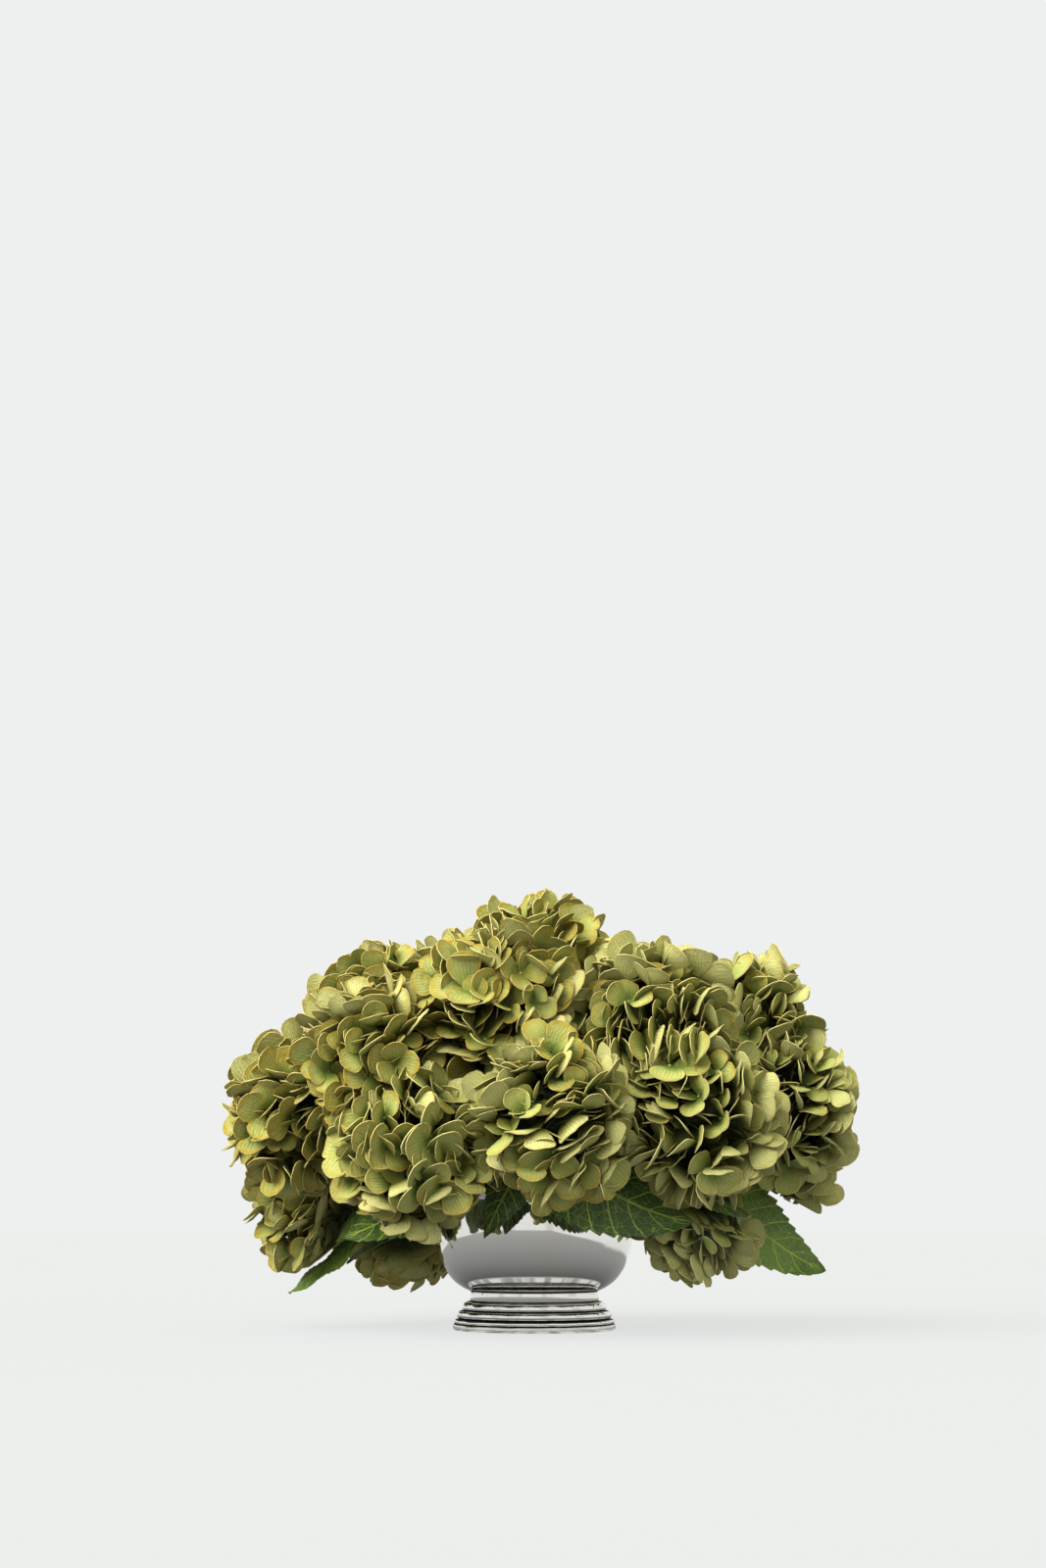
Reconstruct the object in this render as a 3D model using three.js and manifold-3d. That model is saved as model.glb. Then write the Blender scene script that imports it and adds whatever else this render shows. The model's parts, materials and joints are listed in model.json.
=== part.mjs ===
// A low, wide bouquet of green hydrangeas in a footed silver bowl.
// Millimetres, +Z up. The origin is the middle of the foot's flat underside, and the front faces -Y.
// Each flower head is a ball of four-petalled florets on one woody stem. The stems stand in a block of
// floral foam inside the bowl, and toothed leaves grow from them just above the bowl's rim.
import * as THREE from "three";
import { mergeVertices } from "three/addons/utils/BufferGeometryUtils.js";
import Module from "manifold-3d";

const wasm = await Module();
wasm.setup();

// ---- driving dimensions -------------------------------------------------------------------------

const CLEARANCE = 0.3; // between pieces that touch
const ROUND_SIDES = 32; // facets round the bowl and the foot

const FOOT_RADIUS = 62.3;
const NECK_RADIUS = 49.4;
const NECK_TOP = 29;
const BASE_PLATE = 2;

const BOWL_WALL = 1.6;
const BOWL_RIM_RADIUS = 80.5;
const BOWL_RIM_TOP = 104;

const FOAM_TOP = 122; // height of the middle of the foam's dome
const FOAM_RADIUS = 68;
const FOAM_SIDES = 16;

const STEM_RADIUS = 2.7;
const STEM_SIDES = 6;
const STEM_STEPS = 5;
const STEM_FOOT = 58; // height of the cut end inside the foam
const STEM_FOOT_LEAN = 0.84; // how far out it is, as a share of where the stem leaves the foam
const STEM_BEND = 150; // height that the stems rise towards before they bend out
const STEM_RING = 56; // how far from the axis the outermost stems leave the foam
const STEM_HUB = [1.15, 130]; // share of that distance, and height, from which the heads are aimed
const STEM_STRAIGHT = 34; // straight length under a head

const FLORET_RADIUS = 34; // from the floret's middle to a petal's tip
const FLORET_SPACING = 43.4; // least distance between two florets of one head
const FLORET_SEAT = 0.79; // height of a floret's middle, as a share of the head's radius
const FLORET_ROOM = 5; // least distance from a floret's middle to a neighbouring piece
const FLORET_LEAN = 0.4; // how far its face may lean away from the head's middle
const HEAD_SPREAD = 118; // how far round the head florets grow, in degrees from its outward side
const CORE_SHARE = 0.56; // the green heart of a head, as a share of its radius
const ROOT_SHARE = 0.3; // where the florets' stalks end inside it
const PETALS = 4;
const CUP = [4, 12]; // how high the petals' tips stand above the floret's middle
const STALK_RADIUS = 5; // where the petals meet the stalk, which tapers to its root
const STALK_DEPTH = 2.8; // how far under the floret's face that is

const LEAF_THICKNESS = 0.9;
const LEAF_TEETH = 5; // down each side
const PETIOLE_RADIUS = 1.5;

// Flower heads: middle [x, y, z] and radius. turn moves the stem's foot round the foam, in degrees.
const HEADS = [
  { at: [13, -145, 156], radius: 60, turn: -12 },
  { at: [-88, -114, 133], radius: 62 },
  { at: [-174, -36, 161], radius: 62 },
  { at: [-168, 14, 96], radius: 54 },
  { at: [-101, 100, 89], radius: 60 },
  { at: [-4, 142, 144], radius: 68 },
  { at: [104, 110, 134], radius: 61 },
  { at: [198, 42, 136], radius: 46 },
  { at: [189, -18, 168], radius: 61 },
  { at: [121, -44, 80], radius: 42, turn: -5 },
  { at: [116, -106, 158], radius: 64 },
  { at: [-117, -6, 234], radius: 63 },
  { at: [-118, -88, 200], radius: 60 },
  { at: [-27, -86, 237], radius: 67 },
  { at: [86, -80, 224], radius: 67 },
  { at: [165, 12, 232], radius: 58 },
  { at: [6, 4, 269], radius: 66 },
  { at: [-60, 70, 243], radius: 69 },
  { at: [-147, 84, 190], radius: 66 },
  { at: [72, 80, 236], radius: 69 },
  { at: [155, 92, 180], radius: 61 },
];

// Leaves: the stem each grows from, how far up it, the tip, the way its face looks, half its width,
// and how high the midrib arches (or hangs, below zero). bare is the petiole's share of the midrib.
const LEAVES = [
  { stem: 7, along: 0.7, tip: [228, 32, 43], face: [0, -0.95, 0.3], half: 31, arch: -22 },
  { stem: 0, along: 0.74, tip: [116, -94, 82], face: [0.05, -0.93, 0.35], half: 37, arch: -20, bare: 0.03 },
  { stem: 0, along: 0.7, tip: [-37, -96, 70], face: [-0.2, -0.85, 0.5], half: 20, arch: 8 },
  { stem: 1, along: 0.74, tip: [-141, -76, 71], face: [0, -0.75, 0.65], half: 27, arch: -16 },
  { stem: 3, along: 0.62, tip: [-190, 16, 27], face: [-0.3, -0.5, 0.8], half: 12, arch: -14, bare: 0.74 },
  { stem: 4, along: 0.7, tip: [-148, 54, 48], face: [-0.6, -0.4, 0.7], half: 22, arch: 8 },
  { stem: 5, along: 0.74, tip: [14, 140, 52], face: [0.1, 0.8, 0.6], half: 25, arch: 10 },
  { stem: 6, along: 0.68, tip: [168, 78, 52], face: [0.5, 0.2, 0.85], half: 24, arch: 8 },
  { stem: 4, along: 0.68, tip: [-40, 134, 50], face: [0.2, 0.8, 0.6], half: 21, arch: 16 },
  { stem: 10, along: 0.7, tip: [160, -56, 86], face: [0.3, -0.5, 0.85], half: 23, arch: -4 },
  { stem: 2, along: 0.66, tip: [-152, -18, 66], face: [-0.5, -0.4, 0.8], half: 22, arch: 0 },
  { stem: 6, along: 0.68, tip: [58, 134, 48], face: [-0.1, 0.8, 0.6], half: 22, arch: 8 },
];

// ---- materials ----------------------------------------------------------------------------------

function finish(color, roughness, metalness = 0) {
  return new THREE.MeshStandardMaterial({ color, roughness, metalness, side: THREE.DoubleSide });
}

const SILVER = finish("#c9c8c4", 0.12, 1);
const FOAM_GREEN = finish("#2f4a30", 0.95);
const BARK = finish("#5f6a34", 0.7);
const LEAF_GREEN = finish("#3f6a3a", 0.45);
const PETAL_GREENS = [finish("#a3ab5c", 0.6), finish("#8f9d55", 0.6), finish("#b0ad63", 0.6)];

// ---- small helpers ------------------------------------------------------------------------------

const vector = (p) => new THREE.Vector3(...p);
const UP = new THREE.Vector3(0, 0, 1);

// Seeded random numbers from 0 to 1, so that every build is the same.
function randomFrom(seed) {
  let state = seed >>> 0;
  return () => {
    state = (Math.imul(state, 1664525) + 1013904223) >>> 0;
    return state / 4294967296;
  };
}

// A three.js geometry as a solid that can be cut and joined.
function solidOf(geometry) {
  const bare = geometry.clone();
  bare.deleteAttribute("normal");
  bare.deleteAttribute("uv");
  const merged = mergeVertices(bare, 1e-4);
  return new wasm.Manifold(
    new wasm.Mesh({
      numProp: 3,
      vertProperties: new Float32Array(merged.attributes.position.array),
      triVerts: new Uint32Array(merged.index.array),
    }),
  );
}

// A solid as a geometry. A loose scrap that a cut has left is dropped.
function geometryOf(solid) {
  const bodies = solid.decompose().sort((a, b) => b.volume() - a.volume());
  const mesh = bodies[0].getMesh();
  const points = new Float32Array(mesh.numVert * 3);
  for (let i = 0; i < mesh.numVert; i += 1) {
    points.set(mesh.vertProperties.subarray(i * mesh.numProp, i * mesh.numProp + 3), i * 3);
  }
  return geometryFrom(points, Array.from(mesh.triVerts));
}

function geometryFrom(points, triangles) {
  return new THREE.BufferGeometry()
    .setAttribute("position", new THREE.BufferAttribute(Float32Array.from(points), 3))
    .setIndex(triangles);
}

function pointsOf(geometry) {
  const places = geometry.attributes.position;
  return Array.from({ length: places.count }, (_, i) => new THREE.Vector3().fromBufferAttribute(places, i));
}

// A ring-shaped or solid turned piece from its [radius, height] outline, standing on +Z.
function turned(outline, sides) {
  const profile = outline.map(([r, z]) => new THREE.Vector2(r, z));
  return new THREE.LatheGeometry(profile, sides).rotateX(Math.PI / 2);
}

// A round bar with flat ends along a curve.
function bar(curve, radius, sides, steps) {
  const section = new THREE.Shape();
  for (let i = 0; i < sides; i += 1) {
    const turn = (2 * Math.PI * i) / sides;
    section[i ? "lineTo" : "moveTo"](radius * Math.cos(turn), radius * Math.sin(turn));
  }
  section.closePath();
  return new THREE.ExtrudeGeometry(section, { steps, bevelEnabled: false, extrudePath: curve });
}

// A bar whose first end reaches a little further back, for the clearance under a stem's cut end.
function deepened(geometry, curve) {
  const start = curve.getPointAt(0);
  const back = curve.getTangentAt(0).multiplyScalar(-CLEARANCE);
  pointsOf(geometry).forEach((point, i) => {
    if (Math.abs(point.clone().sub(start).dot(back)) > 0.01) return;
    point.add(back);
    geometry.attributes.position.setXYZ(i, point.x, point.y, point.z);
  });
  return geometry;
}

function named(name, geometry, material) {
  const mesh = new THREE.Mesh(geometry, material);
  mesh.name = name;
  return mesh;
}

const numbered = (word, i) => `${word}_${String(i + 1).padStart(2, "0")}`;

// ---- foot and bowl ------------------------------------------------------------------------------

// The foot is a spun shell on a flat base plate: four rounded steps under a plain neck.
function footGeometry() {
  const outside = [
    [0, 0],
    [FOOT_RADIUS - 1.2, 0],
    [FOOT_RADIUS, 1],
    [FOOT_RADIUS - 0.4, 4],
    [60.5, 4.8],
    [60.9, 7.2],
    [57.6, 8.2],
    [58.9, 9.4],
    [58.6, 12.8],
    [54.6, 14.8],
    [55.6, 16],
    [54.9, 19],
    [52.6, 20.6],
    [NECK_RADIUS, 21.5],
    [NECK_RADIUS, NECK_TOP],
  ];
  const inside = [
    [NECK_RADIUS - 2.6, NECK_TOP],
    [NECK_RADIUS - 2.6, 20],
    [57, BASE_PLATE],
    [0, BASE_PLATE],
  ];
  return turned([...outside, ...inside], ROUND_SIDES);
}

// The bowl's outer curve as [radius, height], from its flat underside to the flared rim.
const BOWL_CURVE = [
  [NECK_RADIUS, NECK_TOP + CLEARANCE],
  [55.5, 32.2],
  [62.6, 37.6],
  [69.2, 46.6],
  [73.4, 57],
  [75.6, 68],
  [76, 77.5],
  [75.3, 87],
  [74.3, 95.5],
  [75.6, 100],
  [BOWL_RIM_RADIUS, BOWL_RIM_TOP - 1.2],
];

function bowlGeometry() {
  const inside = BOWL_CURVE.filter((_, i) => i % 2).map(([r, z]) => [r - BOWL_WALL, z + 0.7]);
  const lip = [
    [BOWL_RIM_RADIUS - 0.2, BOWL_RIM_TOP],
    [BOWL_RIM_RADIUS - 2, BOWL_RIM_TOP],
  ];
  const floor = NECK_TOP + CLEARANCE + BOWL_WALL;
  return turned(
    [
      [0, NECK_TOP + CLEARANCE],
      ...BOWL_CURVE,
      ...lip,
      ...inside.reverse(),
      [NECK_RADIUS - 2, floor],
      [0, floor],
    ],
    ROUND_SIDES,
  );
}

// ---- floral foam --------------------------------------------------------------------------------

const FOAM_FLOOR = NECK_TOP + 2 * CLEARANCE + BOWL_WALL;
const FOAM_CURVE = [
  [0, FOAM_FLOOR],
  [45, FOAM_FLOOR],
  [60, 42],
  [FOAM_RADIUS, 60],
  [FOAM_RADIUS, 104],
  [FOAM_RADIUS - 6, 113],
  [34, 120],
  [0, FOAM_TOP],
];

function foamGeometry(stemCurves) {
  let foam = solidOf(turned(FOAM_CURVE, FOAM_SIDES));
  for (const curve of stemCurves) {
    const hole = bar(curve, STEM_RADIUS + CLEARANCE, STEM_SIDES, STEM_STEPS);
    foam = foam.subtract(solidOf(deepened(hole, curve)));
  }
  return geometryOf(foam);
}

// ---- stems --------------------------------------------------------------------------------------

// Distance from a dodecahedron's middle to its faces, for a circumradius of 1.
const DODECAHEDRON_INRADIUS = 0.7947;
const coreRadius = (head) => CORE_SHARE * head.radius;

// Which way and how far from the axis a stem stands: low heads near the foam's edge, high ones inside.
function stemMouth(head) {
  const out = vector(head.at).setZ(head.at[2] - BOWL_RIM_TOP);
  const slope = Math.hypot(out.x, out.y) / out.length();
  return new THREE.Vector3(out.x, out.y, 0)
    .normalize()
    .applyAxisAngle(UP, THREE.MathUtils.degToRad(head.turn ?? 0))
    .multiplyScalar(STEM_RING * slope);
}

// The way from a head's middle down its stem.
function stemWay(head) {
  const mouth = stemMouth(head);
  const hub = mouth.multiplyScalar(STEM_HUB[0]).setZ(STEM_HUB[1]);
  return hub.sub(vector(head.at)).normalize();
}

// From the cut end in the foam, up over the rim, and straight into the underside of the head.
function stemCurve(head) {
  const mouth = stemMouth(head);
  const way = stemWay(head);
  const seat = DODECAHEDRON_INRADIUS * coreRadius(head) + CLEARANCE;
  return new THREE.CubicBezierCurve3(
    mouth.clone().multiplyScalar(STEM_FOOT_LEAN).setZ(STEM_FOOT),
    mouth.clone().setZ(STEM_BEND),
    vector(head.at).addScaledVector(way, seat + STEM_STRAIGHT),
    vector(head.at).addScaledVector(way, seat),
  );
}

// ---- keeping pieces apart -----------------------------------------------------------------------

// A flat limit: a point is on the right side where normal . point >= offset.
const limit = (normal, offset) => ({ normal, offset });

const REACH = 12; // pieces further than this from a head's ball don't limit it
const LEAF_GAP = 0.6; // air that a head leaves round leaves and stems
const VASE_GAP = 1.5; // and round the bowl and the foam

// The point of a convex cloud of points that is nearest to a place outside it.
function nearestInCloud(cloud, place) {
  const nearest = cloud[0].clone();
  const way = new THREE.Vector3();
  for (let round = 0; round < 60; round += 1) {
    way.subVectors(place, nearest);
    const best = cloud.reduce((a, b) => (b.dot(way) > a.dot(way) ? b : a));
    const step = new THREE.Vector3().subVectors(best, nearest);
    const share = step.lengthSq() ? way.dot(step) / step.lengthSq() : 0;
    if (share < 1e-5) break;
    nearest.addScaledVector(step, Math.min(1, share));
  }
  return nearest;
}

// A flat limit that keeps what grows round a place clear of a convex cloud.
function limitFrom(cloud, place, gap) {
  const normal = new THREE.Vector3().subVectors(place, nearestInCloud(cloud, place)).normalize();
  const reach = Math.max(...cloud.map((p) => p.dot(normal)));
  return limit(normal, reach + gap);
}

// Half-way limits between a head and each neighbour it would grow into.
function limitsBetweenHeads(head) {
  const middle = vector(head.at);
  return HEADS.filter((other) => other !== head).flatMap((other) => {
    const away = middle.clone().sub(vector(other.at));
    const distance = away.length();
    if (distance > head.radius + other.radius + REACH) return [];
    const share = (distance ** 2 + head.radius ** 2 - other.radius ** 2) / (2 * distance);
    const normal = away.divideScalar(distance);
    return [limit(normal, normal.dot(middle) - share + CLEARANCE / 2)];
  });
}

const VASE_CLOUD = [...BOWL_CURVE, ...FOAM_CURVE].flatMap(([r, z]) =>
  Array.from({ length: ROUND_SIDES }, (_, i) => {
    const turn = (2 * Math.PI * i) / ROUND_SIDES;
    return new THREE.Vector3(r * Math.cos(turn), r * Math.sin(turn), z);
  }),
);

function limitsOf(head, stemCurves, leafClouds) {
  const middle = vector(head.at);
  const limits = [...limitsBetweenHeads(head), limitFrom(VASE_CLOUD, middle, VASE_GAP)];
  for (const [i, curve] of stemCurves.entries()) {
    if (HEADS[i] === head) continue;
    const points = curve.getSpacedPoints(STEM_STEPS);
    for (let k = 0; k < STEM_STEPS; k += 1) {
      const piece = points.slice(k, k + 2);
      if (nearestInCloud(piece, middle).distanceTo(middle) < head.radius + REACH) {
        limits.push(limitFrom(piece, middle, STEM_RADIUS + LEAF_GAP));
      }
    }
  }
  for (const cloud of leafClouds) {
    if (nearestInCloud(cloud, middle).distanceTo(middle) < head.radius + REACH) {
      limits.push(limitFrom(cloud, middle, LEAF_GAP));
    }
  }
  return limits;
}

const roomAt = (point, limits) => Math.min(...limits.map((l) => l.normal.dot(point) - l.offset));

// Draws a point in along the line from a safe place until it is inside every limit.
function drawnIn(point, safe, limits) {
  let share = 1;
  for (const { normal, offset } of limits) {
    const inside = normal.dot(safe) - offset;
    const outside = normal.dot(point) - offset;
    if (outside < 0) share = Math.min(share, inside / (inside - outside));
  }
  return new THREE.Vector3().lerpVectors(safe, point, share);
}

// ---- flower heads -------------------------------------------------------------------------------

// Directions spread evenly over a ball, by the golden angle.
function spreadDirections(count) {
  const golden = Math.PI * (3 - Math.sqrt(5));
  return Array.from({ length: count }, (_, i) => {
    const z = 1 - (2 * i + 1) / count;
    const r = Math.sqrt(1 - z * z);
    return new THREE.Vector3(r * Math.cos(golden * i), r * Math.sin(golden * i), z);
  });
}

const CANDIDATES = 420; // places on a head's ball that are tried for its florets

// Where the florets of a head stand: as evenly as possible over what shows of its ball.
function floretDirections(head, limits) {
  const middle = vector(head.at);
  const outward = stemWay(head).negate();
  const open = spreadDirections(CANDIDATES).filter((d) => {
    const seat = middle.clone().addScaledVector(d, FLORET_SEAT * head.radius);
    return d.angleTo(outward) < THREE.MathUtils.degToRad(HEAD_SPREAD) && roomAt(seat, limits) > FLORET_ROOM;
  });
  const chosen = [];
  const spacing = FLORET_SPACING / (FLORET_SEAT * head.radius);
  while (open.length) {
    const gap = (d) => Math.min(...chosen.map((c) => c.distanceTo(d)));
    const next = chosen.length
      ? open.reduce((a, b) => (gap(b) > gap(a) ? b : a))
      : open.reduce((a, b) => (b.angleTo(outward) < a.angleTo(outward) ? b : a));
    if (chosen.length && gap(next) < spacing) break;
    chosen.push(next);
  }
  return chosen;
}

// One petal's edge as [turn, reach, height]: a round blade, higher on the side that laps its neighbour.
const PETAL_EDGE = [
  [-45, 0.5, 0.3],
  [-27, 0.93, 0.5],
  [-9, 1.02, 0.92],
  [10, 1, 1.12],
  [28, 0.9, 0.95],
];

const EDGE_LIFT = 0.55; // how far a petal that meets a neighbouring piece turns up instead

// A floret: four cupped petals that thin towards their edges, on a tapered stalk that roots in the core.
function floretGeometry(head, direction, limits, random) {
  const middle = vector(head.at);
  const lean = new THREE.Vector3(random() - 0.5, random() - 0.5, random() - 0.5);
  const normal = direction.clone().addScaledVector(lean, FLORET_LEAN).normalize();
  const heart = middle.clone().addScaledVector(direction, FLORET_SEAT * head.radius);
  const across = new THREE.Vector3().crossVectors(normal, UP.clone().addScaledVector(lean, 0.5));
  across.normalize().applyAxisAngle(normal, random() * Math.PI);
  const along = new THREE.Vector3().crossVectors(normal, across);
  const cup = THREE.MathUtils.lerp(...CUP, random());

  const points = [heart.clone()];
  const place = (turn, reach, height) =>
    heart
      .clone()
      .addScaledVector(across, Math.cos(turn) * reach)
      .addScaledVector(along, Math.sin(turn) * reach)
      .addScaledVector(normal, height);
  for (let petal = 0; petal < PETALS; petal += 1) {
    const size = FLORET_RADIUS * (0.86 + 0.22 * random());
    const lift = cup * (0.7 + 0.6 * random());
    for (const [degrees, reach, height] of PETAL_EDGE) {
      const turn = THREE.MathUtils.degToRad(degrees + 90 * petal);
      const edge = place(turn, size * reach, lift * height);
      const kept = drawnIn(edge, heart, limits);
      const raised = kept.clone().addScaledVector(normal, EDGE_LIFT * kept.distanceTo(edge));
      points.push(roomAt(raised, limits) > 0 ? raised : kept);
    }
  }
  const rim = points.length - 1;
  for (let corner = 0; corner < PETALS; corner += 1) {
    points.push(place(THREE.MathUtils.degToRad(90 * corner - 45), STALK_RADIUS, -STALK_DEPTH));
  }
  points.push(middle.clone().addScaledVector(direction, ROOT_SHARE * head.radius));

  const triangles = [];
  const collar = (corner) => rim + 1 + (corner % PETALS);
  const root = rim + 1 + PETALS;
  for (let i = 0; i < rim; i += 1) {
    const here = 1 + i;
    const next = 1 + ((i + 1) % rim);
    const corner = Math.floor((i + 2) / PETAL_EDGE.length);
    triangles.push(0, here, next, collar(corner), next, here);
    if (Math.floor((i + 3) / PETAL_EDGE.length) !== corner) {
      triangles.push(collar(corner), collar(corner + 1), next);
      triangles.push(collar(corner + 1), collar(corner), root);
    }
  }
  return geometryFrom(points.flatMap((p) => p.toArray()), triangles);
}

// The heart of a head: a dodecahedron with one face square to the stem.
function coreGeometry(head, limits) {
  const core = new THREE.DodecahedronGeometry(coreRadius(head));
  core.deleteAttribute("normal");
  core.deleteAttribute("uv");
  const merged = mergeVertices(core, 1e-3);
  const [a, b, c] = pointsOf(merged);
  const face = new THREE.Triangle(a, b, c).getNormal(new THREE.Vector3());
  merged.applyQuaternion(new THREE.Quaternion().setFromUnitVectors(face, stemWay(head)));
  merged.translate(...head.at);
  pointsOf(merged).forEach((point, i) => {
    const kept = drawnIn(point, vector(head.at), limits);
    merged.attributes.position.setXYZ(i, kept.x, kept.y, kept.z);
  });
  return merged;
}

function headGeometry(head, limits, seed) {
  const random = randomFrom(seed);
  const florets = floretDirections(head, limits).map((direction) =>
    solidOf(floretGeometry(head, direction, limits, random)),
  );
  return geometryOf(wasm.Manifold.union([solidOf(coreGeometry(head, limits)), ...florets]));
}

// ---- leaves -------------------------------------------------------------------------------------

// A leaf's midrib, from its stem's side to the tip. The first part is the bare petiole.
function midrib(leaf, stemCurves) {
  const joints = stemCurves[leaf.stem].getSpacedPoints(STEM_STEPS);
  const below = Math.floor(leaf.along * STEM_STEPS);
  const from = joints[below].clone().lerp(joints[below + 1], leaf.along * STEM_STEPS - below);
  const stemLine = joints[below + 1].clone().sub(joints[below]).normalize();
  const tip = vector(leaf.tip);
  const away = tip.clone().sub(from).projectOnPlane(stemLine).normalize();
  const start = from.clone().addScaledVector(away, STEM_RADIUS + CLEARANCE);
  const crown = start.clone().lerp(tip, 0.55).add(new THREE.Vector3(0, 0, leaf.arch));
  return new THREE.CubicBezierCurve3(start, start.clone().addScaledVector(away, 12), crown, tip);
}

const BARE_SHARE = 0.12; // the share of the midrib that is bare petiole, unless the leaf says
const PETIOLE_END = 0.26; // how far the petiole runs on under the blade
const PETIOLE_OVERLAP = 0.14; // at least this far past the blade's start
const BLADE_FOLD = 0.16; // how far the edges hang below the midrib, as a share of half the width
const EDGE_WAVE = 0.9;

// Half the blade's width along it, as a share of its widest.
const bladeWidth = (u) => Math.sin(Math.PI * Math.min(1, 0.03 + u * 0.97) ** 0.72) ** 0.8;

// Rib and edge points of the blade's upper face, in rows from the base to the tip.
function bladeRows(leaf, rib) {
  const face = vector(leaf.face).normalize();
  const bare = leaf.bare ?? BARE_SHARE;
  const rows = [];
  for (let i = 0; i <= LEAF_TEETH; i += 1) {
    const u = i / LEAF_TEETH;
    const frameAt = (share) => {
      const t = bare + (1 - bare) * share;
      const side = new THREE.Vector3().crossVectors(face, rib.getTangentAt(t)).normalize();
      return { point: rib.getPointAt(t), side, up: rib.getTangentAt(t).cross(side) };
    };
    const edge = (share, reach, side) => {
      const frame = frameAt(share);
      const half = leaf.half * reach;
      const fold = EDGE_WAVE * Math.sin(9 * share + side) - BLADE_FOLD * half * reach;
      return frame.point.addScaledVector(frame.side, side * half).addScaledVector(frame.up, fold);
    };
    const row = { rib: frameAt(u).point };
    for (const side of [-1, 1]) {
      const notch = i === LEAF_TEETH ? 0 : 0.86 * bladeWidth(u);
      row[side] = i === LEAF_TEETH ? row.rib : edge(u, notch, side);
      const peak = Math.min(0.97, u + 0.7 / LEAF_TEETH);
      row[`tooth${side}`] = edge(peak, bladeWidth(peak - 0.04), side);
    }
    rows.push(row);
  }
  return rows;
}

// The blade: the upper face, the same face lowered by its thickness, and the edge between them.
function bladeGeometry(leaf, rib) {
  const rows = bladeRows(leaf, rib);
  const down = vector(leaf.face).normalize().multiplyScalar(-LEAF_THICKNESS);
  const points = [];
  const addPoint = (p) => points.push(p.clone()) - 1;
  const ribs = rows.map((row) => addPoint(row.rib));
  const edges = {};
  for (const side of [-1, 1]) {
    edges[side] = rows.slice(0, -1).flatMap((row) => [addPoint(row[side]), addPoint(row[`tooth${side}`])]);
    edges[side].push(ribs[LEAF_TEETH]);
  }
  const upper = [];
  for (let i = 0; i < LEAF_TEETH; i += 1) {
    for (const side of [-1, 1]) {
      const [notch, tooth, next] = edges[side].slice(2 * i, 2 * i + 3);
      const fan = [[ribs[i], tooth, notch], [ribs[i], ribs[i + 1], tooth]];
      if (next !== ribs[i + 1]) fan.push([ribs[i + 1], next, tooth]);
      upper.push(...fan.map((t) => (side > 0 ? t : t.toReversed())));
    }
  }
  const under = points.length;
  const lowered = points.map((p) => p.clone().add(down));
  const outline = [ribs[0], ...edges[-1], ...edges[1].slice(0, -1).toReversed()];
  const triangles = [...upper.flat(), ...upper.flatMap(([a, b, c]) => [under + a, under + c, under + b])];
  outline.forEach((a, i) => {
    const b = outline[(i + 1) % outline.length];
    triangles.push(a, under + a, b, b, under + a, under + b);
  });
  return geometryFrom([...points, ...lowered].flatMap((p) => p.toArray()), triangles);
}

// The first part of a Bezier curve, up to t, by de Casteljau's rule.
function firstPart({ v0, v1, v2, v3 }, t) {
  const [a, b, c] = [v0.clone().lerp(v1, t), v1.clone().lerp(v2, t), v2.clone().lerp(v3, t)];
  const [d, e] = [a.clone().lerp(b, t), b.clone().lerp(c, t)];
  return new THREE.CubicBezierCurve3(v0, a, d, d.clone().lerp(e, t));
}

function leafGeometry(leaf, stemCurves) {
  const rib = midrib(leaf, stemCurves);
  const end = Math.max(PETIOLE_END, (leaf.bare ?? BARE_SHARE) + PETIOLE_OVERLAP);
  const petiole = bar(firstPart(rib, rib.getUtoTmapping(end)), PETIOLE_RADIUS, 4, 2);
  return geometryOf(solidOf(bladeGeometry(leaf, rib)).add(solidOf(petiole)));
}

// ---- the bouquet --------------------------------------------------------------------------------

const stemCurves = HEADS.map(stemCurve);
const leafGeometries = LEAVES.map((leaf) => leafGeometry(leaf, stemCurves));
const leafClouds = leafGeometries.map(pointsOf);

const bouquet = new THREE.Group();
bouquet.name = "hydrangeas_in_a_footed_bowl";
bouquet.add(named("foot", footGeometry(), SILVER));
bouquet.add(named("bowl", bowlGeometry(), SILVER));
bouquet.add(named("floral_foam", foamGeometry(stemCurves), FOAM_GREEN));
HEADS.forEach((head, i) => {
  const limits = limitsOf(head, stemCurves, leafClouds);
  const petals = PETAL_GREENS[i % PETAL_GREENS.length];
  bouquet.add(named(numbered("stem", i), bar(stemCurves[i], STEM_RADIUS, STEM_SIDES, STEM_STEPS), BARK));
  bouquet.add(named(numbered("flower_head", i), headGeometry(head, limits, 11 + 7 * i), petals));
});
leafGeometries.forEach((geometry, i) => bouquet.add(named(numbered("leaf", i), geometry, LEAF_GREEN)));

export default bouquet;
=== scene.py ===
"""Green hydrangeas in a footed silver bowl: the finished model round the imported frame.

Sizes in the tables are millimetres, in the frame's own axes: +Z up along the bowl's axis, the
front towards -Y. Everything that is built from them is in metres.
"""

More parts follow.
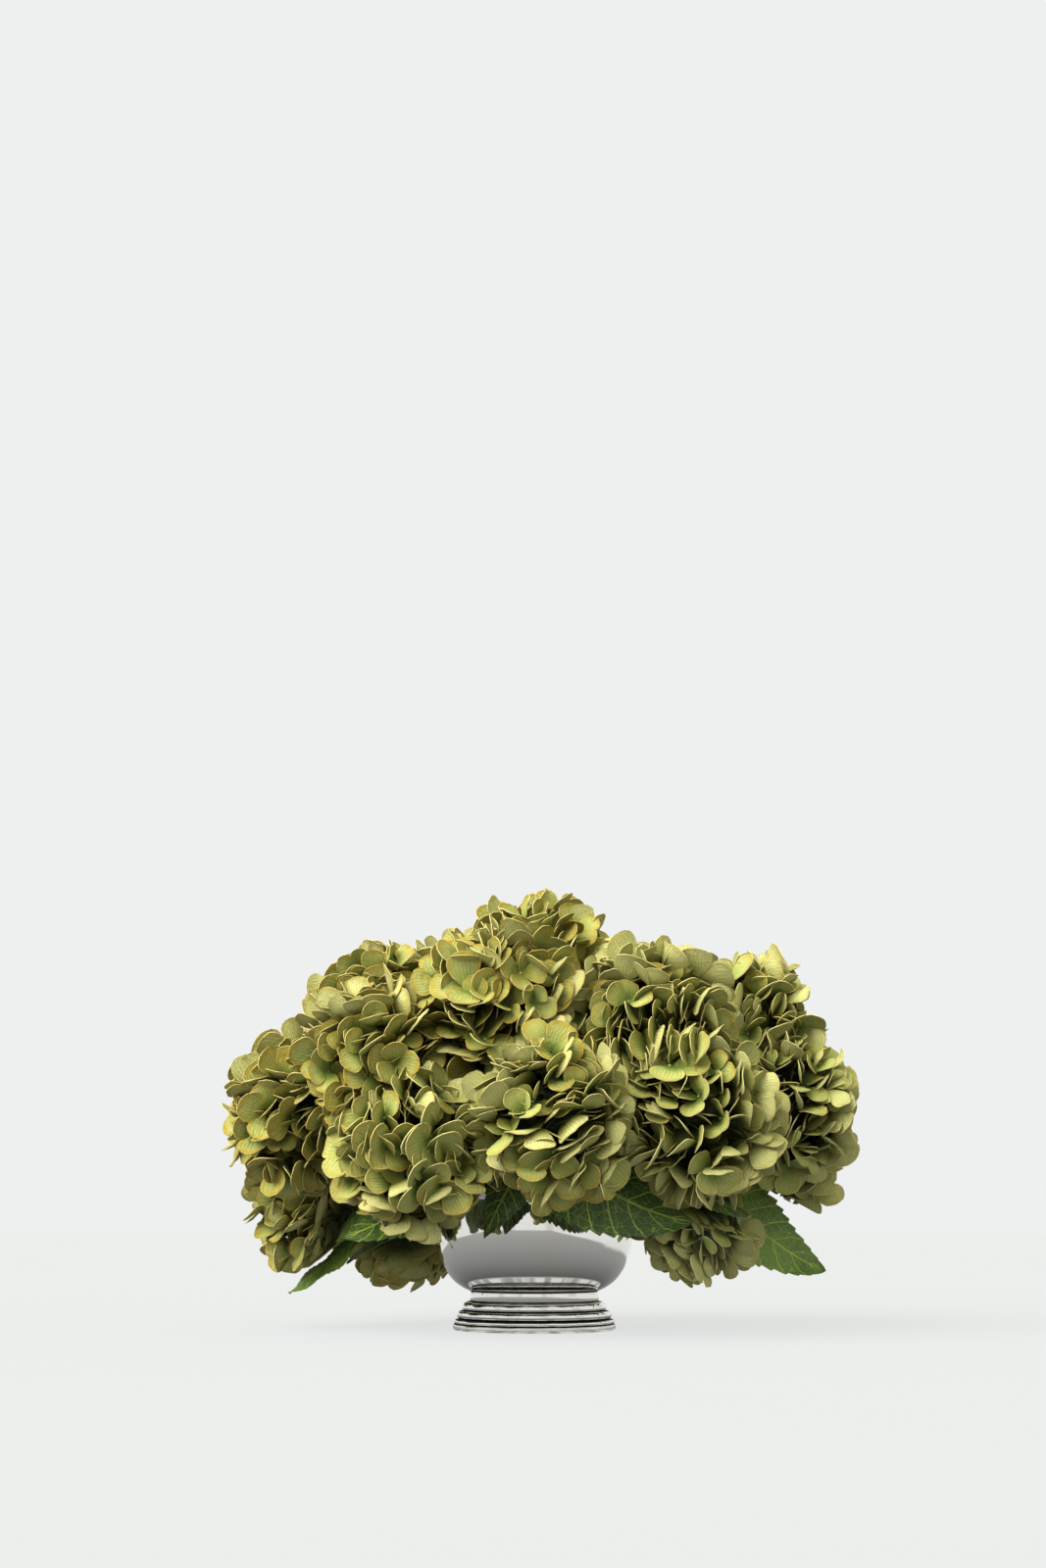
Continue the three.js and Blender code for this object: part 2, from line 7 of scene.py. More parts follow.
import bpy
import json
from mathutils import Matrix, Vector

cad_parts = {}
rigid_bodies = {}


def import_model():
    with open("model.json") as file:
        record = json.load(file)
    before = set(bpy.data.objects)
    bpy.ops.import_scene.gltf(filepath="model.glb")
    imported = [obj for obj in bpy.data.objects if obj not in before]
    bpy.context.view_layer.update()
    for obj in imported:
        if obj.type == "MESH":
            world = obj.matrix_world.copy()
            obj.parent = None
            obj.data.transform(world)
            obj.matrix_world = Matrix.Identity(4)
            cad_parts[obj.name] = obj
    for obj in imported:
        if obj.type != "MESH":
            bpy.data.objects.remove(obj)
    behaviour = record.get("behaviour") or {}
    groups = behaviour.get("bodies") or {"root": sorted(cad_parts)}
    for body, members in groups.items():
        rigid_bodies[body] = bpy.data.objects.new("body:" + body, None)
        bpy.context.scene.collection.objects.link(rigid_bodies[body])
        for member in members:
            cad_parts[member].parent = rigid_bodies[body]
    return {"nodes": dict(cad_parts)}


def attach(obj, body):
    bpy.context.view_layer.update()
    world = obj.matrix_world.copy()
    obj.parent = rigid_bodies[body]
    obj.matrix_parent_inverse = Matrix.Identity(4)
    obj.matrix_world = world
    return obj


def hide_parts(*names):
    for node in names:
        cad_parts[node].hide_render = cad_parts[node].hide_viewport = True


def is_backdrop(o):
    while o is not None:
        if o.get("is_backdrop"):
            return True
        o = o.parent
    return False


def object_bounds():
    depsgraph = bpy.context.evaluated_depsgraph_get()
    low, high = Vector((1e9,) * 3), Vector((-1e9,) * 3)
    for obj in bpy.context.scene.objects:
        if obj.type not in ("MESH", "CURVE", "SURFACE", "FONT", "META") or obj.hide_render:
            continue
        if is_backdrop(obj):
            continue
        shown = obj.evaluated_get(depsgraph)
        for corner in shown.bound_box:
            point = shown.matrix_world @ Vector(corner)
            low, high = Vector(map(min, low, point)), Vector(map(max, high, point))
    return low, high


bl_info = {
    "name": "Hydrangeas in a footed silver bowl",
    "version": (1, 0, 0),
    "blender": (4, 5, 0),
    "location": "3D View > Sidebar > Hydrangeas",
    "description": "Builds the bowl, foam, stems, leaves and heads of a low hydrangea bouquet",
    "category": "Object",
}

import json
import math
import random

import bpy
import numpy as np
from bpy.props import FloatProperty, FloatVectorProperty, IntProperty, PointerProperty
from mathutils import Matrix, Vector, kdtree

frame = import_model()
CAD_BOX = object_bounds()

MM = 0.001

# Flower heads: the middle and radius of each ball, and how far its stem is turned about the bowl's
# axis, in degrees.
HEADS = [
    ((13, -145, 156), 60, -12),
    ((-88, -114, 133), 62, 0),
    ((-174, -36, 161), 62, 0),
    ((-168, 14, 96), 54, 0),
    ((-101, 100, 89), 60, 0),
    ((-4, 142, 144), 68, 0),
    ((104, 110, 134), 61, 0),
    ((198, 42, 136), 46, 0),
    ((189, -18, 168), 61, 0),
    ((121, -44, 80), 42, -5),
    ((116, -106, 158), 64, 0),
    ((-117, -6, 234), 63, 0),
    ((-118, -88, 200), 60, 0),
    ((-27, -86, 237), 67, 0),
    ((86, -80, 224), 67, 0),
    ((165, 12, 232), 58, 0),
    ((6, 4, 269), 66, 0),
    ((-60, 70, 243), 69, 0),
    ((-147, 84, 190), 66, 0),
    ((72, 80, 236), 69, 0),
    ((155, 92, 180), 61, 0),
]

# Leaves: the stem each grows from, how far up it, the tip, the way its face looks, half its width,
# how high the midrib arches (or hangs, below zero), how light its green is, and the share of the
# midrib that is bare petiole.
LEAVES = [
    (7, 0.7, (228, 32, 43), (0, -0.95, 0.3), 31, -22, 1.0, 0.12),
    (0, 0.74, (116, -94, 82), (0.05, -0.93, 0.35), 37, -20, 0.25, 0.03),
    (0, 0.7, (-37, -96, 70), (-0.2, -0.85, 0.5), 20, 8, 0.1, 0.12),
    (1, 0.74, (-141, -76, 71), (0, -0.75, 0.65), 27, -16, 0.12, 0.12),
    (3, 0.62, (-190, 16, 27), (-0.3, -0.5, 0.8), 13, -7, 1.0, 0.6),
    (4, 0.7, (-148, 54, 48), (-0.6, -0.4, 0.7), 22, 8, 0.3, 0.12),
    (5, 0.74, (14, 140, 52), (0.1, 0.8, 0.6), 25, 10, 0.35, 0.12),
    (6, 0.68, (168, 78, 52), (0.5, 0.2, 0.85), 24, 8, 0.5, 0.12),
    (4, 0.68, (-40, 134, 50), (0.2, 0.8, 0.6), 21, 16, 0.2, 0.12),
    (10, 0.7, (160, -56, 86), (0.3, -0.5, 0.85), 23, -4, 0.15, 0.12),
    (2, 0.66, (-152, -18, 66), (-0.5, -0.4, 0.8), 22, 0, 0.25, 0.12),
    (6, 0.68, (58, 134, 48), (-0.1, 0.8, 0.6), 22, 8, 0.4, 0.12),
]

# A leaf's side veins and teeth from end to end, the rows and columns of its grid, the radius of
# its petiole, and how far from the middle of the stem that starts.
LEAF_SIDE_VEINS = 9.0
LEAF_TEETH = 16
LEAF_ROWS = 84
LEAF_COLUMNS = 14
PETIOLE_RADIUS = 1.4
STEM_SURFACE = 3.0

# The bowl's outside as (radius, height), from its flat underside up to the flared rim, the height
# of its underside, and the angles round its rolled edge in degrees.
BOWL_CURVE = [
    (49.4, 29.3), (55.5, 32.2), (62.6, 37.6), (69.2, 46.6), (73.4, 57.0), (75.6, 68.0),
    (76.0, 77.5), (75.3, 87.0), (74.3, 95.5), (75.6, 100.0), (80.3, 102.9),
]
BOWL_FLOOR = 29.3
RIM_ROLL = (-20, 15, 50, 90, 130, 165, 200)

# The foot's rounded rings from the bottom up: radius at the lower and the upper edge, the height
# of each, and how far the ring swells out between them. A deep groove lies over each ring. The
# neck is its radius and its lower and upper height, and the inside leads back down to the axis.
FOOT_RINGS = [
    (61.5, 61.3, 0.3, 4.5, 0.8),
    (60.4, 60.0, 5.1, 7.9, 0.9),
    (57.6, 56.9, 8.8, 14.3, 1.7),
    (54.2, 52.3, 15.4, 21.0, 1.5),
]
FOOT_GROOVES = [(60.4, 4.8), (56.9, 8.3), (53.7, 14.8), (49.1, 21.6)]
RING_STEPS = 8
NECK = (49.4, 22.2, 29.0)
FOOT_INSIDE = [(46.8, 29.0), (46.8, 20), (57, 2), (0, 2)]

# Stems: the ring where they leave the foam, the point that a head turns its back to and the cut
# end (both as a share of that ring and a height), the height of the bend, the straight run under
# a head, the points along a stem, the height of the bowl's rim, the core of a head as a share of
# its radius, and the gap between the two.
STEM_RING = 56
STEM_HUB = (1.15, 130)
STEM_FOOT = (0.84, 58)
STEM_BEND = 150
STEM_STRAIGHT = 34
STEM_POINTS = 12
RIM_TOP = 104
CORE_INRADIUS = 0.7947 * 0.56
CLEARANCE = 0.3

# A petal's outline: the share of its length, and half its width there as a share of its length.
# Its bow and thickness are such shares too, and its root's distance is in millimetres.
PETAL_ROWS = [
    (0.0, 0.06), (0.14, 0.2), (0.33, 0.36), (0.55, 0.47), (0.71, 0.49), (0.86, 0.445), (1.0, 0.3)
]
PETAL_BOW = 0.085
PETAL_THICKNESS = 0.023
PETAL_ROOT = 0.7

# Kinds of petal: how they cup across, and how they curl back (or in, below zero) along their
# length, in degrees.
PETAL_KINDS = [
    (26, 10), (38, -14), (30, 26), (48, -22), (34, 2), (44, 16), (56, -6), (24, -10)
]

# How far the two pairs of petals of a floret may stand up, in degrees.
OPEN_RISE = ((4, 44), (14, 66))
SHUT_RISE = ((40, 66), (52, 80))
SHUT_SHARE = 0.2
SHUT_SQUEEZE = 0.3

# How florets are spread over a head: the half angle of the cap that they cover, the shares of its
# radius where the outer and the inner ones stand, and by which the outer ones are staggered, how
# much they lean aside, and the shares where the stalks fork and that the dense middle takes up.
HEAD_SPREAD = 136
SEAT = 0.72
INNER_SEAT = 0.5
LAYERS = (0.0, -0.12, 0.05)
SWIRL = 0.62
FORK_SHARE = 0.26
HEART_SHARE = 0.5

# What presses on a head: how near the next thing counts, the push that drops a floret, the depth
# in which petals are squeezed, how far they reach into the next head, the room that a floret
# needs, how far one may rise in a valley, and the gaps to leaves, stems and the bowl.
REACH = 12
SQUEEZE = 26.0
PRESS_ZONE = 5.0
OVERLAP = 7.0
FLORET_ROOM = 3.0
VALLEY_FILL = 2.0
LEAF_GAP = 0.8
STEM_GAP = 3.5
VASE_GAP = 1.5

# Petals that meet lie down beside each other, like the pages of a book: in how many rounds, how
# near they meet, the gap between them, and how strongly they line up and spring back.
SETTLE_ROUNDS = 14
NEIGHBOUR = 22.0
PAGE_GAP = 3.0
ALIGN = 0.35
SPRING = 0.12

# Painted shade deep in a head: where petals start to darken inwards and over what depth, as
# shares of a head's radius, how much richer and darker the painted shade makes their colour and
# how far it mixes them to the shade colour, and between which heights, in metres, it eases to a
# share, so that heads high up are painted lighter.
PAINTED_SHADE_STARTS = 0.94
PAINTED_SHADE_RUN = 0.34
PAINTED_SHADE_GAMMA = 1.8
PAINTED_SHADE_SHARE = 0.94
HIGH_UP = (0.2, 0.31)
HIGH_UP_SHARE = 0.45

# The head that the silver doesn't mirror.
UNMIRRORED = 9

# The painted shadow of the flowers on the floor, seen only in the silver: its middle left of the
# bowl in metres, how it leans to the left towards the camera, how much it widens on that way, its
# edge, how fast it darkens near the foot, how dark it gets at most, and the ring round the foot
# where it breaks into streaks, a painted bright reflection.
CANOPY_MIDDLE = -0.15
CANOPY_LEAN = 0.45
CANOPY_WIDENS = 0.75
CANOPY_EDGE = (0.46, 0.53)
CANOPY_NEAR = 0.034
CANOPY_DARKEST = 0.08
FOOT_GLEAM = (0.072, 0.079)

# How brightly the floor glows where it is looked at, as a share of the room, and how the room's
# light is tinged where it falls on the flowers.
SEEN_GLOW = 0.825
WARM = (1.5, 1.46, 0.86)

# The middle of the bouquet, which the lamps shine at, and each lamp's place, in metres. The width
# of a lamp is in degrees.
LIT_PLACE = Vector((0, 0, 0.15))
KEY_PLACE = (-1.85, -1.4, 2.1)
KEY_WIDTH = 60
KEY_TINGE = (1.0, 0.98, 0.98)
FILL_PLACE = (0.5, -1.9, 0.9)
FILL_WIDTH = 90

# The camera: its place in metres, how far it looks up in degrees, its lens and its sensor.
CAMERA_PLACE = (-0.008625, -1.8, 0.095)
CAMERA_TILT = 10.374
CAMERA_LENS = 52.604
SENSOR_WIDTH = 36

# Where the random draws of the stems, the leaves and the flowers start.
STEM_SEED = 31
LEAF_SEED = 57
FLOWER_SEED = 11

GOLDEN_ANGLE = math.pi * (3 - math.sqrt(5))
UP = Vector((0, 0, 1))
ASIDE = Vector((0.3, 0.5, 1))
BLACK = (0, 0, 0)


# ---- settings -----------------------------------------------------------------------------------


def length(name, description, default):
    """A length in metres that a user may change."""
    kind = {"unit": "LENGTH", "subtype": "DISTANCE"}
    return FloatProperty(name=name, description=description, default=default, min=0, **kind)


def colour(name, description, default):
    """A colour, given as linear red, green and blue."""
    return FloatVectorProperty(
        name=name, description=description, default=default, min=0, max=1, size=3, subtype="COLOR"
    )


def share(name, description, default):
    """A share from 0 to 1."""
    return FloatProperty(
        name=name, description=description, default=default, min=0, max=1, subtype="FACTOR"
    )


def strength(name, description, default):
    """The strength of a lamp."""
    return FloatProperty(name=name, description=description, default=default, min=0)


class SilverSettings(bpy.types.PropertyGroup):
    """The bowl and its foot."""

    wall: length("Wall", "Thickness of the bowl's spun wall", 0.0016)
    steps: IntProperty(
        name="Steps", description="Facets round the axis", default=128, min=32, max=256
    )
    silver: colour("Silver", "Colour of the polished plate", (0.86, 0.85, 0.82))
    tarnish: colour("Tarnish", "Colour of the deposit in the grooves", (0.018, 0.017, 0.009))
    polish: share("Roughness", "Roughness of the polished plate", 0.045)


class FoamSettings(bpy.types.PropertyGroup):
    """The block of floral foam."""

    green: colour("Foam green", "Colour of the wet foam", (0.035, 0.095, 0.045))


class StemSettings(bpy.types.PropertyGroup):
    """The woody stems."""

    radius: length("Radius", "Radius of a stem", 0.0027)
    bark: colour("Bark", "Colour of the bark", (0.13, 0.105, 0.035))
    young: colour("Young bark", "Colour of the greener bark near the flowers", (0.19, 0.24, 0.075))


class LeafSettings(bpy.types.PropertyGroup):
    """The leaves."""

    thickness: length("Thickness", "Thickness of a blade", 0.0005)
    dark: colour("Dark green", "Colour of a fully grown blade", (0.016, 0.05, 0.014))
    light: colour("Light green", "Colour of a young blade", (0.15, 0.27, 0.04))
    vein: colour("Veins", "Colour of the veins", (0.37, 0.47, 0.07))
    pale: colour("Underside", "Colour of the underside", (0.11, 0.2, 0.08))


class FlowerSettings(bpy.types.PropertyGroup):
    """The flower heads."""

    petal: length("Petal length", "From the middle of a floret to the tip of a petal", 0.0242)
    spacing: length("Spacing", "Distance between neighbouring florets of a head", 0.0164)
    sage: colour("Petal", "Colour of the face of a petal", (0.345, 0.36, 0.105))
    heart: colour("Heart", "Colour at the heart of a floret", (0.115, 0.19, 0.035))
    ochre: colour("Tinge", "Colour of ripe petals towards their edges", (0.36, 0.255, 0.028))
    khaki: colour("Underside", "Colour of the underside of a petal", (0.47, 0.465, 0.18))
    rim: colour("Rim", "Colour of a petal's thin edge", (0.5, 0.455, 0.19))
    bud: colour("Bud", "Colour of the bud in the middle of a floret", (0.6, 0.62, 0.32))
    stalk: colour("Stalk", "Colour of the flower stalks", (0.12, 0.17, 0.04))
    # Painted shade: the colour that petals, buds and stalks deep inside a head are darkened
    # towards.
    shade: colour("Deep shade", "Colour of the dull petals deep in a head", (0.012, 0.017, 0.002))


class StageSettings(bpy.types.PropertyGroup):
    """The floor, the light and the camera."""

    floor_size: length("Floor size", "Width of the pale floor", 12.0)
    floor: colour("Floor", "Colour of the floor", (0.05, 0.052, 0.055))
    floor_glow: share("Floor glow", "Light from the floor, as a share of the room's", 0.45)
    # How bright the painted shadow on the floor is, as the silver mirrors it, away from the foot.
    painted_canopy_shade: share("Canopy shade", "Brightness of the shaded floor in the silver", 0.6)
    room: colour("Room", "Colour of the pale room round the object", (0.855, 0.871, 0.863))
    side_light: share("Side light", "Light from the sides, as a share of that from above", 0.12)
    dull_wall: share("Dull wall", "Brightness of the room between its windows, in the silver", 0.78)
    key_light: strength("Key light", "Strength of the large soft light", 7.6)
    fill_light: strength("Fill light", "Strength of the light near the camera", 1.3)


# ---- modelling helpers --------------------------------------------------------------------------


def deselect():
    """Leaves nothing selected."""
    bpy.ops.object.select_all(action="DESELECT")


def pick(*pieces):
    """Selects these pieces and nothing else; the first is the active one."""
    deselect()
    for piece in pieces:
        piece.select_set(True)
    bpy.context.view_layer.objects.active = pieces[0]


def named(name):
    """The active piece, under its name."""
    piece = bpy.context.object
    piece.name = name
    piece.data.name = name
    return piece


def add(operator, name, **values):
    """Adds a primitive, a lamp or a camera, with nothing else selected."""
    deselect()
    operator(**values)
    return named(name)


def mode(kind):
    """Goes into edit mode, or back to object mode."""
    bpy.ops.object.mode_set(mode=kind)


def edit_all():
    """Goes into edit mode with the active piece selected all over."""
    mode("EDIT")
    bpy.ops.mesh.select_all(action="SELECT")


def select_corners(piece, chosen):
    """Selects the vertices for which chosen(place) is true, and goes into edit mode."""
    pick(piece)
    mode("EDIT")
    bpy.ops.mesh.select_mode(type="VERT")
    bpy.ops.mesh.select_all(action="DESELECT")
    mode("OBJECT")
    for corner in piece.data.vertices:
        corner.select = chosen(corner.co)
    mode("EDIT")


def fix_place(piece):
    """Puts a piece's place, turn and scale into its mesh."""
    pick(piece)
    bpy.ops.object.transform_apply(location=True, rotation=True, scale=True)


def smooth(angle):
    """Shades the selected piece smooth where its faces meet at less than this angle."""
    bpy.ops.object.shade_smooth_by_angle(angle=math.radians(angle))


def finish_modifier(piece, kind, **values):
    """Adds a modifier with these values and applies it."""
    pick(piece)
    modifier = piece.modifiers.new(kind.lower(), kind)
    for name, value in values.items():
        setattr(modifier, name, value)
    bpy.ops.object.modifier_apply(modifier=modifier.name)


def places_of(piece):
    """The corners of a piece as rows of x, y, z."""
    places = np.empty(len(piece.data.vertices) * 3, np.float32)
    piece.data.vertices.foreach_get("co", places)
    return places.reshape(-1, 3).astype(float)


def set_places(piece, places):
    """Moves the corners of a piece."""
    piece.data.vertices.foreach_set("co", places.astype(np.float32).ravel())
    piece.data.update()


def joined(name, pieces):
    """One piece made of several, whose own meshes are then dropped."""
    spare = [piece.data for piece in pieces[1:]]
    pick(*pieces)
    bpy.ops.object.join()
    bpy.data.batch_remove(spare)
    return named(name)


def mark(mesh, name, values):
    """Stores a value at each corner of a mesh, for its material to read."""
    mesh.attributes.new(name, "FLOAT", "POINT").data.foreach_set("value", values)


def give_tint(mesh, value):
    """Stores one value all over a mesh, for its material to read."""
    mark(mesh, "tint", [value] * len(mesh.vertices))


def stand_in_for(piece, node):
    """The piece takes the place of a CAD node and rides with the model."""
    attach(piece, "root")
    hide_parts(node)


def frame_towards(axis, side):
    """A turn whose Z looks along axis, and whose X is as near to side as it can be."""
    z = axis.normalized()
    x = (side - z * side.dot(z)).normalized()
    return Matrix((x, z.cross(x), z)).transposed().to_4x4()


def bezier(points, t):
    """The point of a cubic Bezier curve at t."""
    a, b, c, d = points
    s = 1 - t
    return a * s**3 + b * (3 * s * s * t) + c * (3 * s * t * t) + d * t**3


def even_points(points, count):
    """Points at equal distances along a cubic Bezier curve, both ends among them."""
    fine = [bezier(points, i / 200) for i in range(201)]
    run = [0.0]
    for a, b in zip(fine, fine[1:]):
        run.append(run[-1] + (b - a).length)
    chosen = []
    for k in range(count):
        wanted = run[-1] * k / (count - 1)
        i = min(max(next((j for j, r in enumerate(run) if r >= wanted), 200), 1), 200)
        part = (wanted - run[i - 1]) / (run[i] - run[i - 1])
        chosen.append(fine[i - 1].lerp(fine[i], part))
    return chosen


def between_points(a, b, c, d, t):
    """A number on the smooth curve through four numbers, at t of the way from b to c."""
    bend = (2 * a - 5 * b + 4 * c - d) * t**2
    return 0.5 * (2 * b + (c - a) * t + bend + (3 * b - a - 3 * c + d) * t**3)


def smooth_outline(points, parts):
    """More points on the smooth curve through an outline."""
    ends = [points[0], *points, points[-1]]
    fine = [
        tuple(between_points(*row, k / parts) for row in zip(*four))
        for four in zip(ends, ends[1:], ends[2:], ends[3:])
        for k in range(parts)
    ]
    return fine + [points[-1]]


# ---- node helpers -------------------------------------------------------------------------------


class Mask:
    """A number, colour or vector that changes over a surface, open to sums."""

    def __init__(self, tree, socket):
        self.tree = tree
        self.socket = socket

    def __add__(self, other):
        return maths("ADD", self, other)

    def __sub__(self, other):
        return maths("SUBTRACT", self, other)

    def __rsub__(self, other):
        return maths("SUBTRACT", other, self)

    def __mul__(self, other):
        return maths("MULTIPLY", self, other)

    def __abs__(self):
        return maths("ABSOLUTE", self)

    def over(self, other):
        """The larger of two masks."""
        return maths("MAXIMUM", self, other)

    def rise(self, low, high, bottom=0.0, top=1.0):
        """A soft step from bottom to top while the mask goes from low to high."""
        ends = {"From Min": low, "From Max": high, "To Min": bottom, "To Max": top}
        step = {"Value": self, **ends}
        return put(self.tree, "MapRange", step, interpolation_type="SMOOTHSTEP")["Result"]


class Outputs:
    """The outputs of a node, each as a mask, by name or number."""

    def __init__(self, tree, node):
        self.tree = tree
        self.node = node

    def __getitem__(self, key):
        return Mask(self.tree, self.node.outputs[key])


def feed(tree, node, inputs):
    """Gives a node's inputs, by name or number, their values or masks."""
    for name, value in inputs.items():
        if isinstance(value, Mask):
            tree.links.new(value.socket, node.inputs[name])
        else:
            node.inputs[name].default_value = value


def put(tree, kind, inputs=None, **settings):
    """Adds a shader node with these inputs and settings, and gives its outputs."""
    node = tree.nodes.new("ShaderNode" + kind)
    for name, value in settings.items():
        setattr(node, name, value)
    feed(tree, node, inputs or {})
    return Outputs(tree, node)


def maths(operation, *values):
    """The result of a sum on numbers and masks, with a mask among the first two."""
    tree = next(value.tree for value in values if isinstance(value, Mask))
    return put(tree, "Math", dict(enumerate(values)), operation=operation)["Value"]


def between(amount, first, second):
    """A colour between two colours."""
    inputs = {0: amount}
    for number, value in ((6, first), (7, second)):
        inputs[number] = value if isinstance(value, Mask) else (*value, 1)
    return put(amount.tree, "Mix", inputs, data_type="RGBA")[2]


def times(tone, *factors):
    """A plain colour made darker or lighter, all over or channel by channel."""
    return tuple(c * f for c, f in zip(tone, factors * (3 // len(factors))))


def noise(place, scale, detail=2.0, roughness=0.5):
    """Soft noise from 0 to 1."""
    inputs = {"Vector": place, "Scale": scale, "Detail": detail, "Roughness": roughness}
    return put(place.tree, "TexNoise", inputs)["Fac"]


def stretched(place, *factors):
    """A place whose x, y and z are multiplied by these."""
    return put(place.tree, "VectorMath", {0: place, 1: factors}, operation="MULTIPLY")["Vector"]


def lines(value, width):
    """Thin lines where the value passes a whole number; width is a share of their distance."""
    return abs(maths("FRACT", value) - 0.5).rise(0.5 - width, 0.5 - width * 0.35)


def object_place(tree):
    """The place on the piece, in metres."""
    return put(tree, "TexCoord")["Object"]


def height_of(place):
    """The height of a place or direction."""
    return put(place.tree, "SeparateXYZ", {"Vector": place})["Z"]


def stored(tree, name):
    """The value that mark stored under this name."""
    return put(tree, "Attribute", attribute_name=name)["Fac"]


def across_and_along(tree):
    """The two coordinates of the piece's own UV map."""
    return list(put(tree, "SeparateXYZ", {"Vector": put(tree, "UVMap", uv_map="UVMap")["UV"]}))[:2]


def use_group(tree, effect, **inputs):
    """The outputs of a shared effect: a node group, built the first time that it is used."""
    group = bpy.data.node_groups.get(effect.__name__)
    if not group:
        group = bpy.data.node_groups.new(effect.__name__, "ShaderNodeTree")
        for label in inputs:
            kind = "NodeSocketVector" if label == "Position" else "NodeSocketFloat"
            group.interface.new_socket(label, in_out="INPUT", socket_type=kind)
        given = Outputs(group, group.nodes.new("NodeGroupInput"))
        masks = effect(*(given[label] for label in inputs))
        for label in masks:
            group.interface.new_socket(label, in_out="OUTPUT", socket_type="NodeSocketFloat")
        feed(group, group.nodes.new("NodeGroupOutput"), masks)
    return put(tree, "Group", inputs, node_tree=group)


def mottling(position, scale):
    """Broad and fine mottling of a natural surface."""
    broad = noise(position, scale, 3.0, 0.55)
    fine = noise(position, scale * 9.0, 4.0, 0.65)
    return {"Broad": broad.rise(0.3, 0.7), "Fine": fine.rise(0.25, 0.75)}


def petal_marks(across, along, position):
    """Masks on a petal: its green heart, its ripe edge, its fan of fine veins and its border."""
    wobble = noise(position, 210.0) - 0.5
    uneven = along + wobble * 0.28
    side = abs(across - 0.5)
    flank = side.rise(0.3, 0.5) * along.rise(0.1, 0.5)
    bent = across + wobble * 0.05
    forked = lines(bent * 21.0, 0.17) * 0.6 * along.rise(0.4, 0.75)
    hem = side.rise(0.474, 0.49).over(along.rise(0.97, 0.985))
    return {
        "Heart": uneven.rise(0.1, 0.68, 1.0, 0.0),
        "Edge": uneven.rise(0.66, 0.98).over(flank),
        "Veins": lines(bent * 9.0, 0.12).over(forked) * along.rise(0.05, 0.3),
        "Border": hem * along.rise(0.1, 0.3),
    }


def leaf_veins(across, along, position):
    """Masks on a leaf: midrib and side veins, the net between them, and the quilted blade."""
    side = abs(across - 0.5)
    wobble = noise(position, 90.0) - 0.5
    sweep = along * LEAF_SIDE_VEINS - side * 2.5 + wobble * 0.3
    laterals = lines(sweep, 0.055) * side.rise(0.44, 0.5, 1.0, 0.35)
    ribs = side.rise(0.012, 0.026, 1.0, 0.0).over(laterals)
    tree = across.tree
    flat = put(tree, "CombineXYZ", {"X": across * 9.0, "Y": along * 21.0})["Vector"]
    wide, close = (
        put(tree, "TexVoronoi", {"Vector": flat, "Scale": scale}, feature="DISTANCE_TO_EDGE")[0]
        for scale in (1.0, 2.7)
    )
    net = wide.rise(0.015, 0.06, 1.0, 0.0).over(close.rise(0.01, 0.08, 0.45, 0.0))
    return {"Ribs": ribs, "Net": net, "Quilt": 1.0 - ribs.over(net * 0.6)}


def tarnish(position):
    """Where dark deposit lies in the grooves of the foot, and where the plate is rubbed dull."""
    height = height_of(position)
    width = noise(position, 70.0, 3.0, 0.6) * 0.0008 + 0.0004
    deposit = abs(height - BOWL_FLOOR * MM).rise(0.0003, 0.0012, 1.0, 0.0)
    for _, groove in FOOT_GROOVES:
        band = 1.0 - maths("DIVIDE", abs(height - groove * MM), width)
        deposit = deposit.over(band.rise(0.0, 0.55))
    streaks = noise(stretched(position, 30.0, 30.0, 1900.0), 1.0, 3.0, 0.7)
    rubbed = height.rise(0.003, 0.0052, 1.0, 0.0) * streaks.rise(0.4, 0.65)
    return {"Deposit": deposit, "Rubbed": rubbed}


def drift(tree, scale):
    """The broad and the fine mottling of a material, at a scale."""
    return use_group(tree, mottling, Position=object_place(tree), Scale=scale)


def marks(tree, effect):
    """The masks of a petal or leaf."""
    across, along = across_and_along(tree)
    return use_group(tree, effect, Across=across, Along=along, Position=object_place(tree))


def shaded(tone, shade):
    """The colour under painted shade: darker deep inside a flower head, less so high up."""
    tree = tone.tree
    # Painted light: the painted shade eases off on heads high up.
    eased = height_of(object_place(tree)).rise(*HIGH_UP, 1.0, HIGH_UP_SHARE)
    depth = stored(tree, "depth") * eased
    painted_deepening = {"Color": tone, "Gamma": depth.rise(0.0, 1.0, 1.0, PAINTED_SHADE_GAMMA)}
    dull = depth.rise(0.0, 1.0, 0.0, PAINTED_SHADE_SHARE)
    return between(dull, put(tree, "Gamma", painted_deepening)["Color"], shade)


# ---- materials ----------------------------------------------------------------------------------

SOFT_SHEEN = {"Specular IOR Level": 0.3}


def new_material(name):
    """An empty material and its node tree."""
    material = bpy.data.materials.new(name)
    material.use_nodes = True
    return material, material.node_tree


def finished(material, tone, roughness, relief=None, **others):
    """Gives a material's shader its inputs. Relief is a height mask, its depth and its strength."""
    tree = material.node_tree
    inputs = {"Base Color": tone, "Roughness": roughness, **others}
    if relief:
        bump = dict(zip(("Height", "Distance", "Strength"), relief))
        inputs["Normal"] = put(tree, "Bump", bump)["Normal"]
    feed(tree, tree.nodes["Principled BSDF"], inputs)
    return material


def polished_silver(settings):
    """Mirror-polished plate: dark deposit in the grooves, a rubbed skirt, faint cloudiness."""
    material, tree = new_material("polished_silver")
    deposit, rubbed = use_group(tree, tarnish, Position=object_place(tree))
    broad, fine = drift(tree, 22.0)
    plate = between(broad * 0.35, settings.silver, times(settings.silver, 0.97, 0.92, 0.84))
    dulled = between(rubbed * 0.6, plate, (0.42, 0.41, 0.38))
    rough = fine * 0.02 + settings.polish + rubbed * 0.25 + deposit * 0.5
    relief = (broad - rubbed, 0.00004, 0.5)
    tone = between(deposit, dulled, settings.tarnish)
    return finished(material, tone, rough, relief, Metallic=1.0)


